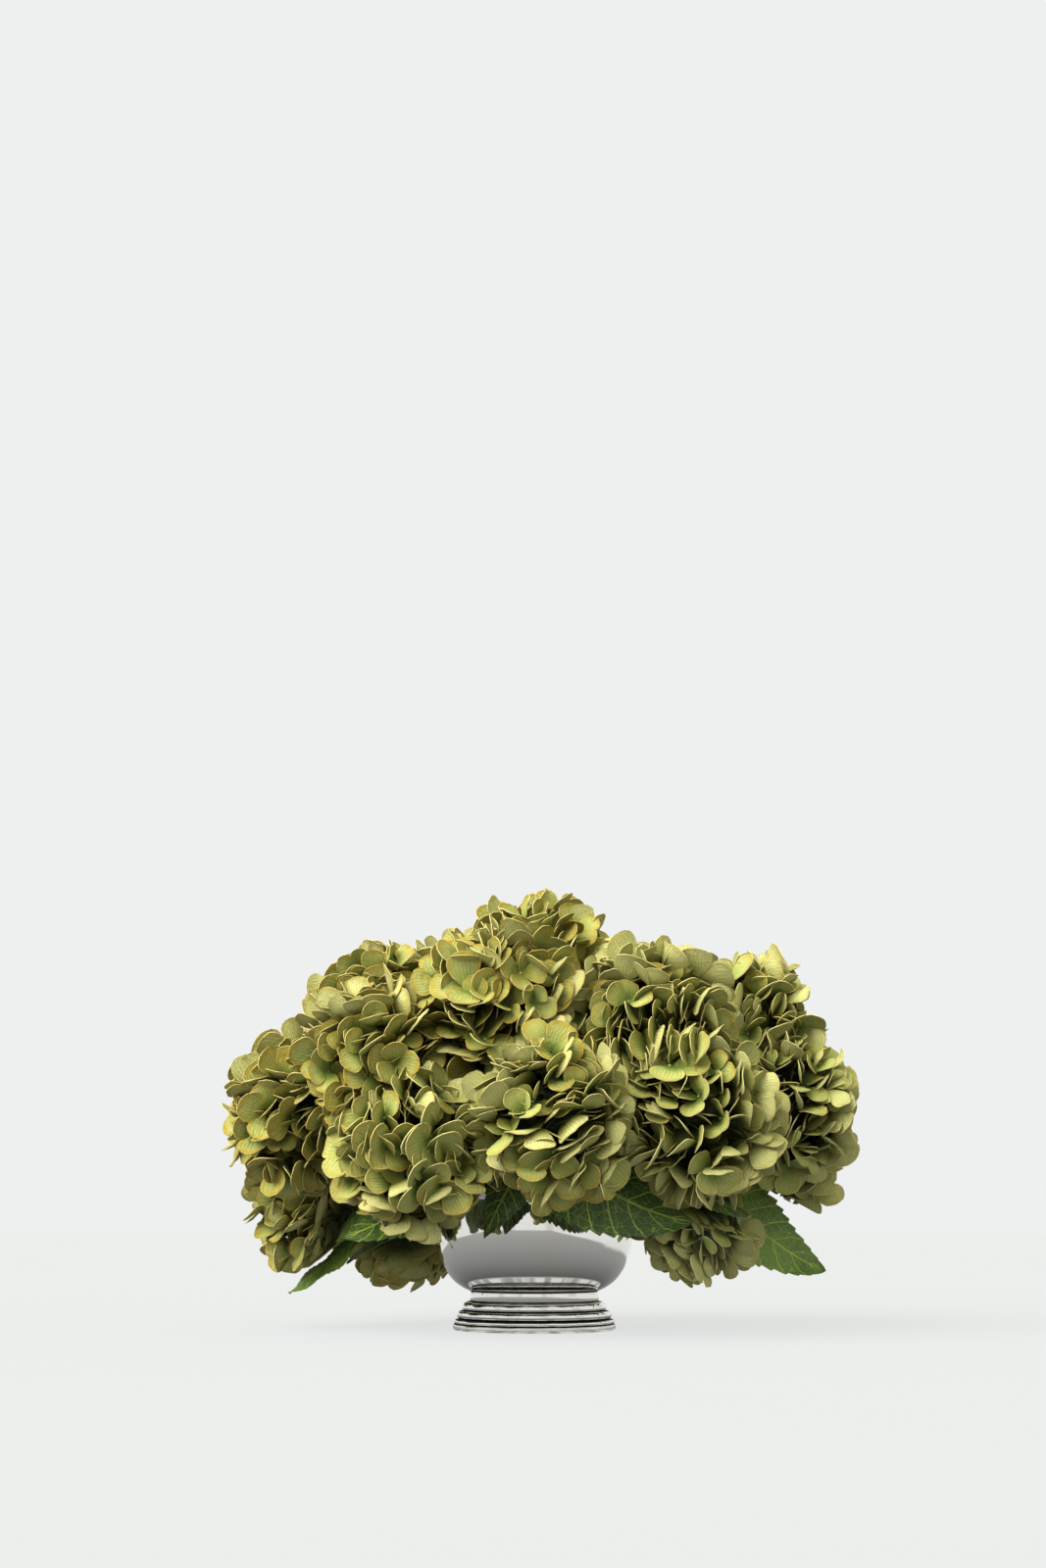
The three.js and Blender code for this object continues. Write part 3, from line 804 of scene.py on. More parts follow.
def wet_foam(settings):
    """Fine-celled wet floral foam."""
    material, tree = new_material("wet_foam")
    cells = put(tree, "TexVoronoi", {"Vector": object_place(tree), "Scale": 900.0})["Distance"]
    broad, fine = drift(tree, 35.0)
    tone = between(cells * broad, settings.green, times(settings.green, 2.4))
    return finished(material, tone, fine * 0.2 + 0.72, (cells - fine, 0.0006, 0.8))


def stem_bark(settings):
    """Brown-olive bark with lengthwise ridges, greener towards the flowers."""
    material, tree = new_material("stem_bark")
    along, around = across_and_along(tree)
    grain = {"X": along * 7.0, "Y": around * 26.0, "Z": stored(tree, "tint")}
    ridges = noise(put(tree, "CombineXYZ", grain)["Vector"], 1.6, 4.0, 0.6)
    _, fine = drift(tree, 60.0)
    body = between(along.rise(0.45, 1.0) * 0.85, settings.bark, settings.young)
    body = between(ridges.rise(0.45, 0.75, 0.0, 0.75), body, times(settings.bark, 0.35))
    tone = between(fine.rise(0.72, 0.95, 0.0, 0.6), body, (0.32, 0.27, 0.15))
    return finished(material, tone, ridges * 0.3 + 0.55, (1.0 - ridges, 0.0005, 0.7))


def leaf_face(settings):
    """The upper face: dark green, lighter where young, with yellow-green veins and net."""
    material, tree = new_material("leaf_face")
    ribs, net, quilt = marks(tree, leaf_veins)
    broad, fine = drift(tree, 28.0)
    young = stored(tree, "tint") * broad.rise(0.0, 0.85, 0.55, 1.0)
    blade = between(young, settings.dark, settings.light)
    blade = between(fine * 0.3, blade, times(settings.dark, 0.6))
    blade = between(net * 0.42, blade, settings.vein)
    tone = between(ribs * 0.85, blade, settings.vein)
    return finished(material, tone, fine.rise(0.0, 1.0, 0.34, 0.5), (quilt, 0.0006, 0.8))


def leaf_underside(settings):
    """The underside: paler and duller, with raised veins."""
    material, tree = new_material("leaf_underside")
    ribs, net, _ = marks(tree, leaf_veins)
    _, fine = drift(tree, 40.0)
    blade = between(fine, settings.pale, times(settings.pale, 0.7))
    strong = ribs.over(net * 0.4)
    tone = between(strong * 0.8, blade, times(settings.vein, 1.15))
    return finished(material, tone, fine.rise(0.0, 1.0, 0.55, 0.7), (strong, 0.0006, 0.9))


def petal_face(settings):
    """The upper face of a petal: sage, fresh green at the heart, golden towards ripe edges."""
    material, tree = new_material("petal_face")
    heart, edge, veins, border = marks(tree, petal_marks)
    broad, fine = drift(tree, 38.0)
    ripe = stored(tree, "tint")
    body = between(heart * 0.75, settings.sage, settings.heart)
    all_over = ripe.rise(0.45, 1.0) * broad.rise(0.2, 0.8, 0.1, 0.75)
    gold = (edge * ripe.rise(0.0, 0.6, 0.2, 1.0)).over(all_over)
    body = between(gold, body, settings.ochre)
    body = between(veins * 0.34, body, times(settings.heart, 0.5))
    body = between(fine.rise(0.55, 1.0, 0.0, 0.28), body, settings.khaki)
    body = between(border * 0.5, body, settings.rim)
    rough = fine.rise(0.0, 1.0, 0.55, 0.7)
    relief = (fine - veins, 0.0005, 0.8)
    # Painted shade darkens the petal deep inside a head.
    return finished(material, shaded(body, settings.shade), rough, relief, **SOFT_SHEEN)


def petal_underside(settings):
    """The underside of a petal: pale khaki with raised veins."""
    material, tree = new_material("petal_underside")
    heart, edge, veins, _ = marks(tree, petal_marks)
    _, fine = drift(tree, 38.0)
    body = between(heart * 0.6, settings.khaki, settings.sage)
    gold = edge * stored(tree, "tint").rise(0.1, 0.9, 0.1, 0.75)
    body = between(gold, body, settings.ochre)
    body = between(veins * 0.28, body, settings.heart)
    body = between(fine * 0.2, body, settings.rim)
    rough = fine.rise(0.0, 1.0, 0.6, 0.75)
    relief = (fine + veins, 0.0005, 0.8)
    # Painted shade darkens the petal deep inside a head.
    return finished(material, shaded(body, settings.shade), rough, relief, **SOFT_SHEEN)


def petal_rim(settings):
    """The thin cut edge of a petal: cream, browner here and there."""
    material, tree = new_material("petal_rim")
    broad, fine = drift(tree, 120.0)
    brown = broad * stored(tree, "tint").rise(0.2, 1.0, 0.2, 0.9)
    # Painted shade darkens the rim deep inside a head.
    tone = shaded(between(brown, settings.rim, settings.ochre), settings.shade)
    return finished(material, tone, fine.rise(0.0, 1.0, 0.5, 0.7), (fine, 0.0002, 0.5))


def soft_green(name, main, other, scale, shade=BLACK):
    """Buds and stalks: one green mottled with another, darkened by painted shade inside a head."""
    material, tree = new_material(name)
    broad, fine = drift(tree, scale)
    tone = shaded(between(broad, main, other), shade)
    return finished(material, tone, fine.rise(0.0, 1.0, 0.45, 0.65), (fine, 0.0002, 0.6))


def painted_canopy_shadow(place):
    """The painted shadow of the flowers on the floor, as the silver mirrors it."""
    flat = put(place.tree, "SeparateXYZ", {"Vector": place})
    middle = flat["Y"] * CANOPY_LEAN + CANOPY_MIDDLE
    aside = abs(flat["X"] - middle) + flat["Y"] * CANOPY_WIDENS
    patch = (aside + noise(place, 6.0) * 0.09).rise(*CANOPY_EDGE, 1.0, 0.0)
    from_foot = put(place.tree, "VectorMath", {0: place}, operation="LENGTH")["Value"]
    way = put(place.tree, "VectorMath", {0: place}, operation="NORMALIZE")["Vector"]
    # Painted reflection: near the foot the painted shadow breaks into bright streaks.
    streak = noise(way, 5.0, 1.0).rise(0.4, 0.6, 0.0, 0.6)
    return patch * streak.over(from_foot.rise(*FOOT_GLEAM)), from_foot


def pale_floor(settings):
    """A plain pale matt floor. The silver mirrors a painted shadow of the flowers round it."""
    material, tree = new_material("pale_floor")
    broad, fine = drift(tree, 1.5)
    bright = between(broad, settings.floor, times(settings.floor, 0.985))
    painted_shadow, from_foot = painted_canopy_shadow(object_place(tree))
    path = put(tree, "LightPath")
    # Painted shadow: rays that the silver reflects see a darker floor in this patch.
    mirrored_painted_shadow = path["Is Glossy Ray"] * painted_shadow
    faint, clear = (times(settings.room, glow) for glow in (settings.floor_glow, SEEN_GLOW))
    left = settings.painted_canopy_shade - maths("DIVIDE", CANOPY_NEAR, from_foot)
    painted_shadow_tone = between(left.over(CANOPY_DARKEST), BLACK, clear)
    seen = path["Is Camera Ray"].over(path["Is Glossy Ray"])
    glow = {
        "Emission Color": between(mirrored_painted_shadow, between(seen, faint, clear), painted_shadow_tone),
        "Emission Strength": 1.0,
        "Specular IOR Level": 0.0,
    }
    tone = between(mirrored_painted_shadow, bright, BLACK)
    return finished(material, tone, fine.rise(0.0, 1.0, 0.3, 0.36), **glow)


# ---- silver bowl and foot -----------------------------------------------------------------------


def spun_shell(name, outline, steps):
    """Draws one corner along the outline, in millimetres, and spins the line round the axis."""
    shell = add(bpy.ops.mesh.primitive_plane_add, name, size=MM)
    mode("EDIT")
    bpy.ops.mesh.select_mode(type="VERT")
    bpy.ops.mesh.select_all(action="SELECT")
    bpy.ops.mesh.merge(type="CENTER")
    bpy.ops.transform.translate(value=(outline[0][0] * MM, 0, outline[0][1] * MM))
    for (radius, height), (next_radius, next_height) in zip(outline, outline[1:]):
        move = ((next_radius - radius) * MM, 0, (next_height - height) * MM)
        bpy.ops.mesh.extrude_vertices_move(TRANSFORM_OT_translate={"value": move})
    bpy.ops.mesh.select_all(action="SELECT")
    bpy.ops.mesh.spin(steps=steps, angle=2 * math.pi, center=(0, 0, 0), axis=(0, 0, 1))
    bpy.ops.mesh.select_all(action="SELECT")
    bpy.ops.mesh.remove_doubles(threshold=0.00001)
    bpy.ops.mesh.normals_make_consistent(inside=False)
    mode("OBJECT")
    smooth(32)
    return shell


def bowl_outline(wall):
    """The bowl's section: flat underside, full belly, rolled rim, and the inside of the wall."""
    outside = smooth_outline(BOWL_CURVE, 6)
    inside = [(r - wall, z + 0.25 * wall) for r, z in reversed(outside)][2:]
    floor = [(r, max(z, BOWL_FLOOR + wall)) for r, z in inside]
    rim_radius, rim_height = outside[-1]
    roll = []
    for angle in map(math.radians, RIM_ROLL):
        radius = rim_radius - wall / 2 + wall * 0.62 * math.cos(angle)
        roll.append((radius, rim_height + 0.35 + wall * 0.48 * math.sin(angle)))
    return [(0, BOWL_FLOOR), (30, BOWL_FLOOR), *outside, *roll, *floor, (0, BOWL_FLOOR + wall)]


def foot_outline():
    """The foot's section: swelling rings with a groove over each, and a plain neck."""
    outline = [(0, 0), (40, 0)]
    for (low, high, bottom, top, swell), groove in zip(FOOT_RINGS, FOOT_GROOVES):
        for k in range(RING_STEPS + 1):
            t = k / RING_STEPS
            ease = 0.5 - 0.5 * math.cos(math.pi * t)
            radius = low + (high - low) * t + swell * math.sin(math.pi * t) ** 0.7
            outline.append((radius, bottom + (top - bottom) * ease))
        outline.append(groove)
    radius, bottom, top = NECK
    outline += [(radius - 0.15, bottom), (radius, bottom + 0.5)]
    return outline + [(radius - 0.6, top - 0.3), (radius - 0.9, top), *FOOT_INSIDE]


class HYDRANGEA_OT_silver(bpy.types.Operator):
    """Spin the polished bowl and its ringed foot"""

    bl_idname = "hydrangea.silver"
    bl_label = "Bowl and foot"

    def execute(self, context):
        settings = context.scene.hydrangea_silver
        plate = polished_silver(settings)
        bowl = spun_shell("silver_bowl", bowl_outline(settings.wall / MM), settings.steps)
        foot = spun_shell("silver_foot", foot_outline(), settings.steps)
        for piece, node in ((bowl, "bowl"), (foot, "foot")):
            piece.data.materials.append(plate)
            stand_in_for(piece, node)
        return {"FINISHED"}


class HYDRANGEA_OT_foam(bpy.types.Operator):
    """Give the block of floral foam its fine-celled finish"""

    bl_idname = "hydrangea.foam"
    bl_label = "Floral foam"

    def execute(self, context):
        block = frame["nodes"]["floral_foam"]
        block.data.materials.clear()
        block.data.materials.append(wet_foam(context.scene.hydrangea_foam))
        return {"FINISHED"}


# ---- stems --------------------------------------------------------------------------------------


def stem_mouth(head):
    """Where a head's stem leaves the foam: low heads near the edge, high ones inside."""
    at, _, turn = head
    out = Vector((at[0], at[1], at[2] - RIM_TOP))
    slope = math.hypot(at[0], at[1]) / out.length
    flat = Vector((at[0], at[1], 0)).normalized()
    flat.rotate(Matrix.Rotation(math.radians(turn), 3, "Z"))
    return flat * STEM_RING * slope


def stem_way(head):
    """The way from a head's middle down its stem."""
    mouth = stem_mouth(head) * STEM_HUB[0]
    return (Vector((mouth.x, mouth.y, STEM_HUB[1])) - Vector(head[0])).normalized()


def stem_top(head):
    """The upper end of a head's stem, in millimetres."""
    return Vector(head[0]) + stem_way(head) * (CORE_INRADIUS * head[1] + CLEARANCE)


def stem_curve(head):
    """The stem's Bezier curve, from its cut end in the foam to the underside of the head."""
    mouth = stem_mouth(head)
    foot = mouth * STEM_FOOT[0]
    return [
        Vector((foot.x, foot.y, STEM_FOOT[1])),
        Vector((mouth.x, mouth.y, STEM_BEND)),
        stem_top(head) + stem_way(head) * STEM_STRAIGHT,
        stem_top(head),
    ]


def model_stem(name, head, radius, rng):
    """A woody stem: a Bezier tube with a swollen joint, and a slight taper."""
    points = even_points(stem_curve(head), STEM_POINTS)
    joint = rng.uniform(6.4, 7.4)
    deselect()
    bpy.ops.curve.primitive_bezier_curve_add()
    curve = bpy.context.object
    line = curve.data.splines[0]
    line.bezier_points.add(len(points) - 2)
    for i, (knot, point) in enumerate(zip(line.bezier_points, points)):
        knot.co = point * MM
        knot.handle_left_type = "AUTO"
        knot.handle_right_type = "AUTO"
        swell = 0.3 * math.exp(-((i - joint) ** 2) / 0.35)
        knot.radius = 1.0 - 0.012 * i + swell
    curve.data.bevel_depth = radius
    curve.data.bevel_resolution = 3
    curve.data.resolution_u = 4
    curve.data.use_fill_caps = True
    pick(curve)
    bpy.ops.object.convert(target="MESH")
    stem = named(name)
    fix_place(stem)
    smooth(50)
    give_tint(stem.data, rng.random() * 9)
    return stem


class HYDRANGEA_OT_stems(bpy.types.Operator):
    """Grow the woody stems from the foam to the heads"""

    bl_idname = "hydrangea.stems"
    bl_label = "Stems"

    def execute(self, context):
        settings = context.scene.hydrangea_stems
        bark = stem_bark(settings)
        rng = random.Random(STEM_SEED)
        for i, head in enumerate(HEADS):
            stem = model_stem(f"woody_stem_{i + 1:02d}", head, settings.radius, rng)
            stem.data.materials.append(bark)
            stand_in_for(stem, f"stem_{i + 1:02d}")
        return {"FINISHED"}


# ---- leaves -------------------------------------------------------------------------------------


def leaf_rib(leaf):
    """The midrib's Bezier curve, from the surface of the stem to the tip."""
    stem, along, tip, _, _, arch, *_ = leaf
    points = even_points(stem_curve(HEADS[stem]), 6)
    part = along * 5
    first = int(part)
    base = points[first].lerp(points[first + 1], part - first)
    line = (points[first + 1] - points[first]).normalized()
    end = Vector(tip)
    away = end - base
    away = (away - line * away.dot(line)).normalized()
    start = base + away * STEM_SURFACE
    middle = start.lerp(end, 0.55) + Vector((0, 0, arch))
    return [start, start + away * 12, middle, end]


def blade_share(u):
    """The width of a blade at a share of its length, as a share of the widest."""
    return math.sin(math.pi * min(1, 0.03 + u * 0.97) ** 0.72) ** 0.8


def rib_frame(rib, t, face):
    """The place, the way ahead, the way across and the way up at a share of a midrib."""
    ahead = (bezier(rib, min(1, t + 0.01)) - bezier(rib, max(0, t - 0.01))).normalized()
    across = face.cross(ahead).normalized()
    return bezier(rib, t), ahead, across, ahead.cross(across)


def model_blade(leaf, settings, rng):
    """A blade: a fine grid laid along the midrib, toothed, folded, quilted and made thick."""
    _, _, _, face, half, _, _, bare = leaf
    rib = leaf_rib(leaf)
    grid = {"x_subdivisions": LEAF_COLUMNS, "y_subdivisions": LEAF_ROWS, "size": 1}
    blade = add(bpy.ops.mesh.primitive_grid_add, "blade", **grid)
    wave = rng.random() * 6
    places = places_of(blade)
    for i, (x, y, _) in enumerate(places):
        u = min(1, y + 0.5)
        side = 2 * x
        wide = blade_share(u)
        point, ahead, across, up = rib_frame(rib, bare + (1 - bare) * u, Vector(face))
        tooth = (u * LEAF_TEETH) % 1.0
        notch = 0.12 * (tooth - 0.5) * min(1, 6 * u) * abs(side) ** 5
        reach = half * wide * (1 + notch)
        lean = 0.05 * abs(side) ** 5 * tooth * half
        vein = u * LEAF_SIDE_VEINS - abs(side) * 1.25
        quilt = 0.55 * abs(math.sin(math.pi * vein)) ** 0.7 * abs(side) ** 0.4 * wide
        ripple = 1.5 * math.sin(u * 13 + wave + side) * side * side
        height = -0.16 * half * abs(side) * wide + ripple + quilt - 0.4
        place = point + across * (reach * side) + up * height + ahead * lean * wide
        places[i] = place * MM
    set_places(blade, places)
    offsets = {"offset": 0, "material_offset": 1, "material_offset_rim": 1}
    finish_modifier(blade, "SOLIDIFY", thickness=settings.thickness, **offsets)
    smooth(50)
    return blade, rib


def model_petiole(rib, face, bare):
    """The leaf's stalk: a tube that runs on under the blade and thins into the midrib."""
    rod = {"vertices": 8, "radius": 1, "depth": 1, "location": (0, 0, 0.5)}
    stalk = add(bpy.ops.mesh.primitive_cylinder_add, "petiole", **rod)
    fix_place(stalk)
    edit_all()
    for cut in (0.5, 0.25, 0.75, 0.125, 0.375, 0.625, 0.875):
        bpy.ops.mesh.select_all(action="SELECT")
        bpy.ops.mesh.bisect(plane_co=(0, 0, cut), plane_no=(0, 0, 1))
    mode("OBJECT")
    places = places_of(stalk)
    for i, (x, y, z) in enumerate(places):
        t = z * 0.82
        point, _, across, up = rib_frame(rib, t, face)
        thick = PETIOLE_RADIUS * (1 - 0.72 * max(0, z - 0.3) / 0.7)
        under = 0.35 + 0.55 * thick if t > bare else 0.35 * min(1, t / bare)
        places[i] = (point + across * x * thick + up * (y * thick - under)) * MM
    set_places(stalk, places)
    smooth(50)
    return stalk


class HYDRANGEA_OT_leaves(bpy.types.Operator):
    """Shape the toothed, veined leaves along their midribs"""

    bl_idname = "hydrangea.leaves"
    bl_label = "Leaves"

    def execute(self, context):
        settings = context.scene.hydrangea_leaves
        faces = [leaf_face(settings), leaf_underside(settings)]
        stalk_green = soft_green("petiole_green", settings.pale, settings.vein, 90.0)
        rng = random.Random(LEAF_SEED)
        for i, leaf in enumerate(LEAVES):
            *_, face, _, _, light, bare = leaf
            blade, rib = model_blade(leaf, settings, rng)
            for finish in faces:
                blade.data.materials.append(finish)
            petiole = model_petiole(rib, Vector(face), bare)
            petiole.data.materials.append(stalk_green)
            whole = joined(f"toothed_leaf_{i + 1:02d}", [blade, petiole])
            give_tint(whole.data, light)
            stand_in_for(whole, f"leaf_{i + 1:02d}")
        return {"FINISHED"}


# ---- flower heads -------------------------------------------------------------------------------


def model_petal(name, cup, curl, finishes):
    """One petal, standing on its narrow end with its face towards -Y, in its three finishes."""
    rows = len(PETAL_ROWS) - 1
    grid = {"x_subdivisions": 4, "y_subdivisions": rows, "size": 1}
    upright = {"location": (0, 0, 0.5), "rotation": (math.pi / 2, 0, 0)}
    petal = add(bpy.ops.mesh.primitive_grid_add, name, **grid, **upright)
    fix_place(petal)
    for k, (height, half) in reversed(list(enumerate(PETAL_ROWS))):
        select_corners(petal, lambda place, k=k: abs(place.z - k / rows) < 0.02)
        bpy.ops.transform.resize(value=(2 * half, 1, 1), center_override=(0, 0, k / rows))
        bpy.ops.transform.translate(value=(0, 0, height - k / rows + (3 if k else 0)))
        mode("OBJECT")
    select_corners(petal, lambda place: place.z > 2)
    bpy.ops.transform.translate(value=(0, 0, -3))
    mode("OBJECT")
    for height, half in PETAL_ROWS[1:]:
        for part in (0.5, 1.0):
            at = (half * part, height)
            select_corners(
                petal,
                lambda p, at=at: abs(p.z - at[1]) < 0.02 and abs(abs(p.x) - at[0]) < 0.02,
            )
            bpy.ops.transform.translate(value=(0, 0, -PETAL_BOW * (part * height) ** 2))
            mode("OBJECT")
    for axis, angle in (("Z", -cup), ("X", curl)):
        bend = {"deform_method": "BEND", "deform_axis": axis, "angle": math.radians(angle)}
        finish_modifier(petal, "SIMPLE_DEFORM", **bend)
    for finish in finishes:
        petal.data.materials.append(finish)
    offsets = {"offset": 0, "material_offset": 1, "material_offset_rim": 2}
    finish_modifier(petal, "SOLIDIFY", thickness=PETAL_THICKNESS, **offsets)
    smooth(55)
    return petal


def model_bud(finish):
    """The small round bud in the middle of a floret."""
    ball = {"subdivisions": 1, "radius": 0.0013, "location": (0, 0, 0.0009)}
    bud = add(bpy.ops.mesh.primitive_ico_sphere_add, "bud", **ball)
    fix_place(bud)
    bpy.ops.object.shade_smooth()
    bud.data.materials.append(finish)
    return bud


def model_stalk(finish):
    """A flower stalk of unit size: a slim tapered bar along +Z."""
    bar = {"vertices": 5, "radius": 1, "depth": 1, "location": (0, 0, 0.5)}
    stalk = add(bpy.ops.mesh.primitive_cylinder_add, "stalk", **bar)
    fix_place(stalk)
    select_corners(stalk, lambda place: place.z > 0.5)
    bpy.ops.transform.resize(value=(0.78, 0.78, 1))
    mode("OBJECT")
    smooth(80)
    stalk.data.materials.append(finish)
    return stalk


def model_heart(finish):
    """The dense middle of a head, where its stalks branch: a lumpy ball of unit radius."""
    heart = add(bpy.ops.mesh.primitive_ico_sphere_add, "heart", subdivisions=3, radius=1)
    fix_place(heart)
    lumps = bpy.data.textures.new("heart_lumps", "CLOUDS")
    lumps.noise_scale = 0.3
    lumpy = {"texture": lumps, "texture_coords": "LOCAL", "strength": 0.5, "mid_level": 0.5}
    finish_modifier(heart, "DISPLACE", **lumpy)
    smooth(40)
    heart.data.materials.append(finish)
    return heart


def nearest_in_cloud(cloud, place):
    """The point of a convex cloud that is nearest to a place outside it."""
    nearest = cloud[0].copy()
    for _ in range(60):
        way = place - nearest
        best = cloud[np.argmax(cloud @ way)]
        step = best - nearest
        size = step @ step
        part = way @ step / size if size else 0
        if part < 1e-5:
            break
        nearest += step * min(1, part)
    return nearest


def limit_from(cloud, place, gap):
    """A flat limit (its inward way and its offset) that keeps a place's growth off a cloud."""
    inward = place - nearest_in_cloud(cloud, place)
    inward = inward / np.linalg.norm(inward)
    return [*inward, (cloud @ inward).max() + gap, 0]


def head_limits(head, leaf_clouds, vase_cloud):
    """The flat limits round a head, the soft ones half-way to its neighbours marked with 1.

    The others keep it off the vase, the stems and the leaves.
    """
    at = np.array(head[0], float)
    radius = head[1]
    limits = [limit_from(vase_cloud, at, VASE_GAP)]
    for other in HEADS:
        if other is head:
            continue
        away = at - np.array(other[0], float)
        distance = np.linalg.norm(away)
        if distance < radius + other[1] + REACH:
            half_way = (distance**2 + radius**2 - other[1] ** 2) / (2 * distance)
            inward = away / distance
            limits.append([*inward, inward @ at - half_way, 1])
        points = np.array([list(p) for p in even_points(stem_curve(other), 6)])
        for piece in zip(points, points[1:]):
            piece = np.array(piece)
            if np.linalg.norm(nearest_in_cloud(piece, at) - at) < radius + REACH:
                limits.append(limit_from(piece, at, STEM_GAP))
    for cloud in leaf_clouds:
        if np.linalg.norm(nearest_in_cloud(cloud, at) - at) < radius + REACH:
            limits.append(limit_from(cloud, at, LEAF_GAP))
    return np.array(limits)


def pressed(places, limits):
    """Squeezes what comes near a limit against it. Petals may reach a little into the next head."""
    for *inward, offset, soft in limits:
        inward = np.array(inward)
        depth = places @ inward - offset + OVERLAP * soft
        near = depth < PRESS_ZONE
        squeezed = PRESS_ZONE * np.exp((depth[near] - PRESS_ZONE) / PRESS_ZONE)
        places[near] += np.outer(squeezed - depth[near], inward)
    return places


def spread(count, widest):
    """Directions spread evenly over a cap round +Z; widest is its half angle in degrees."""
    low = math.cos(math.radians(widest))
    for i in range(count):
        z = 1 - (1 - low) * (i + 0.5) / count
        r = math.sqrt(max(0, 1 - z * z))
        yield Vector((r * math.cos(GOLDEN_ANGLE * i), r * math.sin(GOLDEN_ANGLE * i), z))


def floret_places(head, limits, seat, spacing, rng):
    """Where a head's florets stand, the way each looks, and how hard it is squeezed.

    Florets that meet the next head rise beside it and fill the valley between the two.
    """
    at, radius, _ = head
    middle = Vector(at)
    turn = frame_towards(-stem_way(head), ASIDE)
    cap = 2 * math.pi * (1 - math.cos(math.radians(HEAD_SPREAD))) * (radius * seat) ** 2
    count = round(cap / (0.866 * spacing**2))
    phase = [rng.uniform(0, 6.3) for _ in range(3)]
    for i, direction in enumerate(spread(count, HEAD_SPREAD)):
        way = (turn @ direction + Vector([rng.uniform(-0.1, 0.1) for _ in range(3)])).normalized()
        reach = radius * (seat + LAYERS[i % 3] * seat / SEAT + rng.uniform(-0.03, 0.03))
        place = middle + way * reach
        look = way.copy()
        squeeze = 0
        for *inward, offset, soft in limits:
            inward = Vector(inward)
            lack = FLORET_ROOM * (1 - soft) - (inward.dot(place) - offset)
            if lack <= 0:
                continue
            squeeze = max(squeeze, lack / SQUEEZE)
            place += inward * lack
            look -= inward * look.dot(inward) * min(1, 0.3 + squeeze)
            distance = inward.dot(middle) - offset
            if soft and 0 < distance < reach:
                foot = middle - inward * distance
                out = place - foot
                rim = math.sqrt(reach**2 - distance**2) + VALLEY_FILL * rng.random()
                if out.length > 1:
                    place = foot + out.normalized() * rim
        worst = min(Vector(row[:3]).dot(place) - row[3] + 3 * row[4] for row in limits)
        if squeeze >= 1 or worst < 0 or look.length < 0.1:
            continue
        turns = [math.sin(place[(k + 1) % 3] * 0.052 + phase[k]) for k in range(3)]
        lean = Vector(turns) * SWIRL + Vector([rng.gauss(0, 0.26) for _ in range(3)])
        look = look.normalized() + lean
        look += way * max(0, 0.35 - look.normalized().dot(way)) * look.length
        yield place, look.normalized(), squeeze


def ripeness(head, rng):
    """How golden a head is: more so on the left and at the top."""
    at = head[0]
    return 0.36 - 0.0011 * at[0] + 0.0016 * (at[2] - 160) + rng.uniform(-0.1, 0.1)


def plan_head(number, head, limits, settings, rng):
    """The florets of a head as (head, place, look, tint, scale, shut)."""
    ripe = ripeness(head, rng)
    spacing = settings.spacing / MM
    for inner, seat, room in ((False, SEAT, spacing), (True, INNER_SEAT, spacing * 1.15)):
        for place, look, squeeze in floret_places(head, limits, seat, room, rng):
            tint = min(1, max(0, ripe + rng.gauss(0, 0.16)))
            scale = rng.uniform(0.66, 1.1) * (0.85 if inner else 1.0)
            shut = squeeze > SHUT_SQUEEZE or inner or rng.random() < SHUT_SHARE
            yield number, place, look, tint, scale, shut


def floret_petals(floret, place, look, scale, shut, size, rng):
    """The four petals of a floret: its number, root, way, face, length and kind of each."""
    side = [math.sin(place[k] * 0.045 + 2 * k) + rng.uniform(-0.5, 0.5) for k in range(3)]
    turn = frame_towards(look, Vector(side))
    pairs = [rng.uniform(*limits) for limits in (SHUT_RISE if shut else OPEN_RISE)]
    rng.shuffle(pairs)
    for k in range(4):
        round_about = math.radians(90 * k + rng.uniform(-10, 10))
        up = math.radians(pairs[k % 2] + rng.uniform(-9, 9))
        out = Vector((math.cos(round_about), math.sin(round_about), 0))
        way = turn @ (out * math.cos(up) + UP * math.sin(up))
        face = turn @ (UP * math.cos(up) - out * math.sin(up))
        root = place + (turn @ out) * PETAL_ROOT + look * (0.5 if k % 2 else -0.4)
        petal = size * scale * rng.uniform(0.8, 1.14)
        yield floret, root, way, face, petal, rng.randrange(len(PETAL_KINDS))


def sizes(rows):
    """The lengths of rows of vectors, as a column."""
    return np.linalg.norm(rows, axis=1, keepdims=True)


def dots(one, two):
    """The dot products of rows of vectors, as a column."""
    return np.sum(one * two, axis=1, keepdims=True)


def unit(rows):
    """Rows of vectors, each with a length of 1."""
    return rows / sizes(rows)


